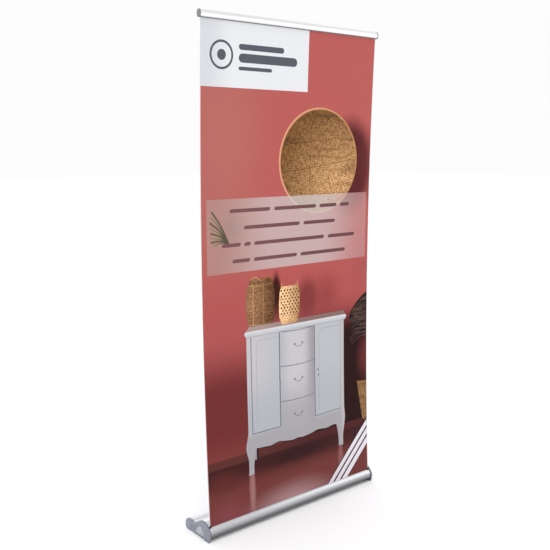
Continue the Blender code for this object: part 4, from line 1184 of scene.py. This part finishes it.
def make_rail(metal, cap_material):
    """The snap-open rail: a rear body with the hinge bead and hanger, and the jaw that turns on it."""
    depth, height = RAIL_HALF_DEPTH, RAIL_HALF_HEIGHT
    in_depth, in_height = depth - RAIL_WALL, height - RAIL_WALL
    hinge_y, hinge_z = -HINGE_AHEAD, RAIL_Z + height - HINGE_BELOW_TOP
    knuckle_in = HINGE_BEAD + GAP
    knuckle_out = knuckle_in + KNUCKLE_WALL
    foot_angle = math.degrees(math.acos(LAND_OFFSET / depth))
    land_top = RAIL_Z - height + LAND_HEIGHT
    land_back = LAND_OFFSET + RAIL_WALL
    land_angle = math.degrees(math.acos(land_back / in_depth))
    web_high, web_low = 0.34 * height, 0.24 * height
    ceiling = HANGER_TOP - RAIL_WALL
    rear_body = (
        on_rail(depth, height, -foot_angle, on_oval(height, ceiling), 36)
        + [
            (HANGER_REACH - RAIL_WALL, RAIL_Z + ceiling),
            (HANGER_REACH - RAIL_WALL, RAIL_Z + HANGER_BOTTOM),
            (HANGER_REACH, RAIL_Z + HANGER_BOTTOM),
            (HANGER_REACH, RAIL_Z + HANGER_TOP),
        ]
        + on_rail(depth, height, on_oval(height, HANGER_TOP), 100, 24)
        + on_rail(in_depth, in_height, 89, on_oval(in_height, web_high), 18)
        + arc(hinge_y, hinge_z, HINGE_BEAD, -40, 288, 40)
        + on_rail(in_depth, in_height, on_oval(in_height, web_low), -land_angle, 26)
        + [(land_back, land_top), (LAND_OFFSET, land_top)]
    )
    front_jaw = (
        arc(hinge_y, hinge_z, knuckle_out, 60, 180, 24)
        + on_rail(depth, height, 180 - on_oval(height, 0.55 * height), 180 + foot_angle, 36)
        + [(-LAND_OFFSET, land_top), (-land_back, land_top)]
        + on_rail(in_depth, in_height, 180 + land_angle, 180 - on_oval(in_height, 0.36 * height), 26)
        + arc(hinge_y, hinge_z, knuckle_out, 245, 265, 4)
        + arc(hinge_y, hinge_z, knuckle_in, 265, 60, 36)
    )
    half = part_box("rail_rear_body")[1][0]
    sections = [
        ("rail_rear_profile", rear_body, "rail", "rail_rear_body"),
        ("rail_jaw_profile", front_jaw, "rail_jaw", "rail_front_jaw"),
    ]
    for name, section, body, node in sections:
        fit(lengthwise(name, [soften(section, 0.0004, 4, 40)], -half, half, metal), body, "anodised", node)
    rim = on_rail(depth + RAIL_CAP_LIP, height + RAIL_CAP_LIP, 0, 360, 96)[:-1]
    for name in ("rail_left_cap", "rail_right_cap"):
        low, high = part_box(name)
        side = -1 if low[0] < 0 else 1
        outer = max(abs(low[0]), abs(high[0]))
        stations = [(outer - RAIL_CAP_THICKNESS, 0.0)]
        stations += [(outer - back, step) for back, step in rounded_end(0.0016, 6)]
        stations += [(outer - 0.0001, 0.0042), (outer - 0.0006, 0.0050), (outer - 0.0006, 0.0060)]
        stations = [(side * x, amount) for x, amount in stations]
        fit(lofted(f"{name}_moulding", [rim], stations, cap_material), "rail", "rail_caps", name)


# --- Pole ---


def collar_profile(outer_tube, inner_tube, tube_top):
    """A twist-lock collar's (radius, z) profile, and the numbers of its points in the gripped band."""
    bore, throat = outer_tube + GAP, inner_tube + GAP
    outer = bore + COLLAR_WALL
    low, high = tube_top - COLLAR_LENGTH + COLLAR_SEAT, tube_top + COLLAR_SEAT
    band_low, band_high = low + 0.006, high - 0.011
    steps = 14
    band = [(outer - 0.0002, band_low + (band_high - band_low) * i / steps) for i in range(steps + 1)]
    profile = [
        *((bore, low), (outer - 0.0012, low), (outer - 0.0004, low + 0.0004), (outer, low + 0.0012)),
        *((outer, low + 0.0042), (outer - 0.0005, low + 0.0048)),
        *band,
        *((outer - 0.0005, high - 0.0096), (outer, high - 0.0090), (outer, high - 0.0042)),
        *((outer - 0.0006, high - 0.0030), (throat + 0.0018, high - 0.0002), (throat + 0.0012, high)),
        *((throat, high), (throat, tube_top + GAP), (bore, tube_top + GAP)),
    ]
    return profile, range(7, 6 + len(band) - 1)


def tube_profile(radius, low, high):
    inner, edge = radius - TUBE_WALL, 0.0003
    outside = [(radius - edge, low), (radius, low + edge), (radius, high - edge), (radius - edge, high)]
    return [(inner, low), *outside, (inner, high)]


def make_pole(metal, moulding, steel):
    lower_top = SOCKET_BASE + GAP + SECTION_RISE
    middle_top = lower_top + SECTION_RISE
    sections = [
        ("pole_lower_tube", "pole_lower", LOWER_TUBE_RADIUS, SOCKET_BASE + GAP + 0.003, lower_top),
        ("pole_middle_tube", "pole_middle", MIDDLE_TUBE_RADIUS, lower_top - TUBE_OVERLAP, middle_top),
        ("pole_upper_tube", "pole_upper", UPPER_TUBE_RADIUS, middle_top - TUBE_OVERLAP, POLE_LENGTH - GAP),
    ]
    for node, body, radius, low, high in sections:
        tube = lathe(f"{node}_drawn", tube_profile(radius, low, high), metal, 96, POLE_FRAME)
        fit(tube, body, "tube", node)
    collars = [
        ("lower_twist_collar", "lower_collar", LOWER_TUBE_RADIUS, MIDDLE_TUBE_RADIUS, lower_top),
        ("upper_twist_collar", "upper_collar", MIDDLE_TUBE_RADIUS, UPPER_TUBE_RADIUS, middle_top),
    ]
    for node, body, outer_tube, inner_tube, top in collars:
        profile, band = collar_profile(outer_tube, inner_tube, top)
        collar = lathe(f"{node}_grip", profile, moulding, 0, POLE_FRAME, 20, 0.0011, band)
        fit(collar, body, "moulding", node)

    inner, flange = LOWER_TUBE_RADIUS + GAP, SOCKET_RADIUS + SOCKET_FLANGE
    seat = SOCKET_SEAT + GAP
    rim = seat + FLANGE_THICKNESS
    profile = [(0, 0), (SOCKET_RADIUS - 0.001, 0), (SOCKET_RADIUS, 0.001), (SOCKET_RADIUS, seat)]
    profile += [(flange, seat), (flange, seat + 0.5 * FLANGE_THICKNESS)]
    profile += [(flange - 0.0004, seat + 0.8 * FLANGE_THICKNESS), (flange - 0.0014, rim)]
    profile += [(inner + 0.0022, rim), (inner + 0.0008, rim - 0.0004), (inner, rim - 0.0014)]
    profile += [(inner, SOCKET_BASE), (0, SOCKET_BASE)]
    fit(lathe("socket_turning", profile, moulding, 96, POLE_FRAME), "base", "moulding", "pole_socket")
    for i in range(3):
        turn = math.radians(90 + 120 * i)
        reach = SOCKET_RADIUS + 0.55 * SOCKET_FLANGE
        place = Vector((reach * math.cos(turn), reach * math.sin(turn), rim - 0.0004))
        make_screw_head(f"socket_screw_{i + 1}", POLE_FRAME @ Matrix.Translation(place), steel)
    make_hook(moulding)


def make_screw_head(name, matrix, steel):
    """A small pan head with a cross recess."""
    profile = [(0, 0), (0.0022, 0), (0.0022, 0.0006), (0.0018, 0.0011), (0.0010, 0.0013), (0, 0.00135)]
    head = lathe(name, profile, steel, 40)
    for turn in (0, math.pi / 2):
        bm = bmesh.new()
        bmesh.ops.create_cube(bm, size=1)
        bm.transform(Matrix.Rotation(turn, 4, "Z") @ Matrix.Diagonal((0.0026, 0.0005, 0.0016, 1)))
        bmesh.ops.translate(bm, vec=(0, 0, 0.0016), verts=bm.verts)
        cut(head, finish_mesh("recess", bm, [steel]))
    head.data.transform(matrix)
    fit(head, "base", "steel")


def make_hook(moulding):
    """The head of the pole: a plug in the tube, a block on it, and a blade under the rail's hanger."""
    radius = UPPER_TUBE_RADIUS - TUBE_WALL - GAP
    plug = [(0, POLE_LENGTH - 0.022), (radius - 0.0006, POLE_LENGTH - 0.022), (radius, POLE_LENGTH - 0.0214)]
    plug += [(radius, POLE_LENGTH + 0.003), (0, POLE_LENGTH + 0.003)]
    gutter_rear = HANGER_REACH - RAIL_WALL
    blade_front = (RAIL_HALF_DEPTH + gutter_rear - BLADE_THICKNESS) / 2 + GAP
    blade_rear = blade_front + BLADE_THICKNESS
    ceiling = RAIL_Z + HANGER_TOP - RAIL_WALL
    floor = RAIL_Z - HEAD_DEPTH + 2 * GAP
    neck = RAIL_Z + HANGER_BOTTOM - 0.002
    block_rear = POLE_TOP_BEHIND + UPPER_TUBE_RADIUS
    block_front = HANGER_REACH + 0.001
    block_top = RAIL_Z + HANGER_TOP
    outline = [(blade_front, floor + 0.010), (block_front, floor), (block_rear, floor)]
    outline += [(block_rear, block_top), (block_front, block_top), (block_front, neck)]
    outline += [(blade_rear, neck), (blade_rear, ceiling - GAP), (blade_front, ceiling - GAP)]
    half = 0.8 * UPPER_TUBE_RADIUS
    block = lengthwise("pole_hook_head", [soften(outline, 0.0022, 6, 30)], -half, half, moulding, 0.0006)
    cut(block, lathe("plug", plug, moulding, 64, POLE_FRAME), "UNION")
    fit(block, "pole_upper", "moulding", "pole_hook")


# --- Sheet ---


def strip(name, rows, material):
    """A closed strip of the sheet's width and thickness through (y, z) rows, front to back."""
    half = SHEET_THICKNESS / 2
    outline = [(y - half, z) for y, z in rows] + [(y + half, z) for y, z in rows[::-1]]
    return lengthwise(name, [outline], -SHEET_WIDTH / 2, SHEET_WIDTH / 2, material)


def make_sheet():
    """The sheet in three pieces: what winds off the roller, what shows, and what the rail grips."""
    film = plain_film("white_film", (216, 218, 221))
    printed = make_print(film)
    fit(printed, "base", "film", "banner_sheet")
    start = (ROLLER_BEHIND - FILM_RADIUS - GAP - SHEET_THICKNESS / 2, ROLLER_HEIGHT)
    rows = []
    for i in range(9):
        t = i / 8
        rows.append((start[0] * (1 - t) ** 2, start[1] + (SLOT_TOP - start[1]) * t))
    rows[-1] = (0, SLOT_TOP)
    feed = strip("sheet_feed", rows, film)
    fit(feed, "base", "film")
    tuck = strip("sheet_tuck", [(0, RAIL_BOTTOM), (0, RAIL_BOTTOM + SHEET_TUCK)], film)
    fit(tuck, "rail", "film")
    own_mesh(printed)


# --- Stage ---


def area_light(name, place, target, size, power):
    lamp = bpy.data.lights.new(name, "AREA")
    lamp.shape = "RECTANGLE"
    lamp.size, lamp.size_y = size
    lamp.energy = power
    obj = bpy.data.objects.new(name, lamp)
    bpy.context.scene.collection.objects.link(obj)
    obj.location = place
    obj.rotation_euler = (Vector(target) - Vector(place)).to_track_quat("-Z", "Y").to_euler()


def make_stage():
    """A pale floor, a studio that is white at and below the horizon, and soft lights."""
    bm = bmesh.new()
    bmesh.ops.create_grid(bm, x_segments=8, y_segments=8, size=40)
    pale = (0.93, 0.93, 0.935, 1)
    ground = Graph("studio_floor", pale, 0.75)
    (grain,) = ground.noises((2.0, 2.0))
    floor = finish_mesh("studio_floor", bm, [surface(ground, pale, [around(ground, grain, 0.004)])])

    world = bpy.data.worlds.new("studio")
    bpy.context.scene.world = world
    world.use_nodes = True
    tree = world.node_tree
    place = tree.nodes.new("ShaderNodeTexCoord")
    parts = tree.nodes.new("ShaderNodeSeparateXYZ")
    ramp = tree.nodes.new("ShaderNodeValToRGB")
    tree.links.new(place.outputs["Generated"], parts.inputs[0])
    tree.links.new(parts.outputs[2], ramp.inputs[0])
    tree.links.new(ramp.outputs[0], tree.nodes["Background"].inputs[0])
    stops = ramp.color_ramp.elements
    stops[0].position, stops[0].color = 0.0, (1, 1, 1, 1)
    stops[1].position, stops[1].color = 1.0, (0.75, 0.76, 0.78, 1)
    for position, value in ((0.30, 1.0), (0.45, 0.8), (0.8, 0.7)):
        stop = stops.new(position)
        stop.color = (value, value, value * 1.01, 1)
    tree.nodes["Background"].inputs[1].default_value = WORLD_STRENGTH

    sun = bpy.data.lights.new("sky_panel", "SUN")
    sun.energy = SUN_STRENGTH
    sun.angle = math.radians(55)
    lamp = bpy.data.objects.new("sky_panel", sun)
    bpy.context.scene.collection.objects.link(lamp)
    lamp.rotation_euler = Vector((-0.30, -0.34, 0.90)).to_track_quat("Z", "Y").to_euler()
    area_light("key", (-2.4, -3.4, 2.6), (0, 0, 1.0), (1.2, 2.4), 12)
    area_light("fill", (3.2, -2.4, 2.0), (0, 0, 0.9), (1.0, 2.4), 8)
    area_light("back", (1.2, 4.0, 2.6), (0, 0, 1.0), (3, 3), 20)


def make_camera():
    data = bpy.data.cameras.new("camera")
    data.sensor_width = 36
    data.lens = 49.48
    camera = bpy.data.objects.new("camera", data)
    bpy.context.scene.collection.objects.link(camera)
    tilt, turn, roll = math.radians(90 - 9.38), math.radians(-38.645), math.radians(-0.2)
    camera.matrix_world = (
        Matrix.Translation((-2.0417, -2.4871, 1.5788))
        @ Matrix.Rotation(turn, 4, "Z")
        @ Matrix.Rotation(tilt, 4, "X")
        @ Matrix.Rotation(roll, 4, "Z")
    )
    bpy.context.scene.camera = camera


def finish_kept_nodes(finishes):
    """The CAD nodes that stay in view get the same finishes as the new pieces."""
    for node, material in finishes.items():
        mesh = NODES[node].data
        mesh.materials.clear()
        mesh.materials.append(material)


# --- Everything ---

drawn = satin_aluminium("drawn_tube", (214, 215, 219), 2, 0.3)
plating = plated_plastic("plated_shell", (136, 139, 150))
# Painted highlight: the same plating made lighter for the caps' sunk kidney-shaped panel
highlight_plating = plated_plastic("plated_relief_painted_highlight", (180, 182, 190))
black = moulded("black_moulding", (34, 34, 36), 0.5)
grey = moulded("grey_moulding", (128, 129, 133), 0.45)
# Painted shade: the rail's lowest 7 mm darken to 0.14 of its colour, standing in for its shaded lower lip
rail_painted_shade = (RAIL_BOTTOM, RAIL_BOTTOM + 0.007, 0.14)
rail_metal = satin_aluminium("rail_aluminium", (246, 246, 247), 0, 0.36, *rail_painted_shade)
nylon = moulded("natural_nylon", (226, 225, 220), 0.5)
rubber = moulded("black_rubber", (30, 30, 31), 0.75, 900.0)
steel = zinc_steel()
leader = plain_film("leader_film", (226, 226, 228))

make_camera()
make_stage()
# Painted shade: the cassette's metal darkens from 62 mm down to the housing floor, to 0.2 of its colour
cassette_painted_shade = (HOUSING_FLOOR, 0.062, 0.2)
make_housing(satin_aluminium("cassette_aluminium", (232, 233, 236), 0, 0.3, *cassette_painted_shade))
for side, name in ((-1, "left"), (1, "right")):
    make_bearing_plate(side, name, black)
    make_plated_cap(side, name, plating, highlight_plating)
make_pads(rubber)
make_rail(rail_metal, grey)
make_slot_guides(black)
make_pole(drawn, black, steel)
make_sheet()

kept = {
    "roller_tube": drawn,
    "leader_wraps": leader,
    "left_roller_plug": nylon,
    "right_roller_plug": nylon,
    "right_bearing_bush": nylon,
    "spring_axle": steel,
    "axle_support": nylon,
    "spring_anchor": steel,
    "torsion_spring": steel,
    "rear_grip_strip": rubber,
    "front_grip_strip": rubber,
    "pole_foot_plug": black,
    "middle_tube_glide": nylon,
    "upper_tube_glide": nylon,
}
for side in ("left", "right"):
    for place in ("front", "middle", "rear"):
        kept[f"{side}_{place}_screw"] = steel
finish_kept_nodes(kept)

bpy.context.scene.view_settings.view_transform = "Standard"
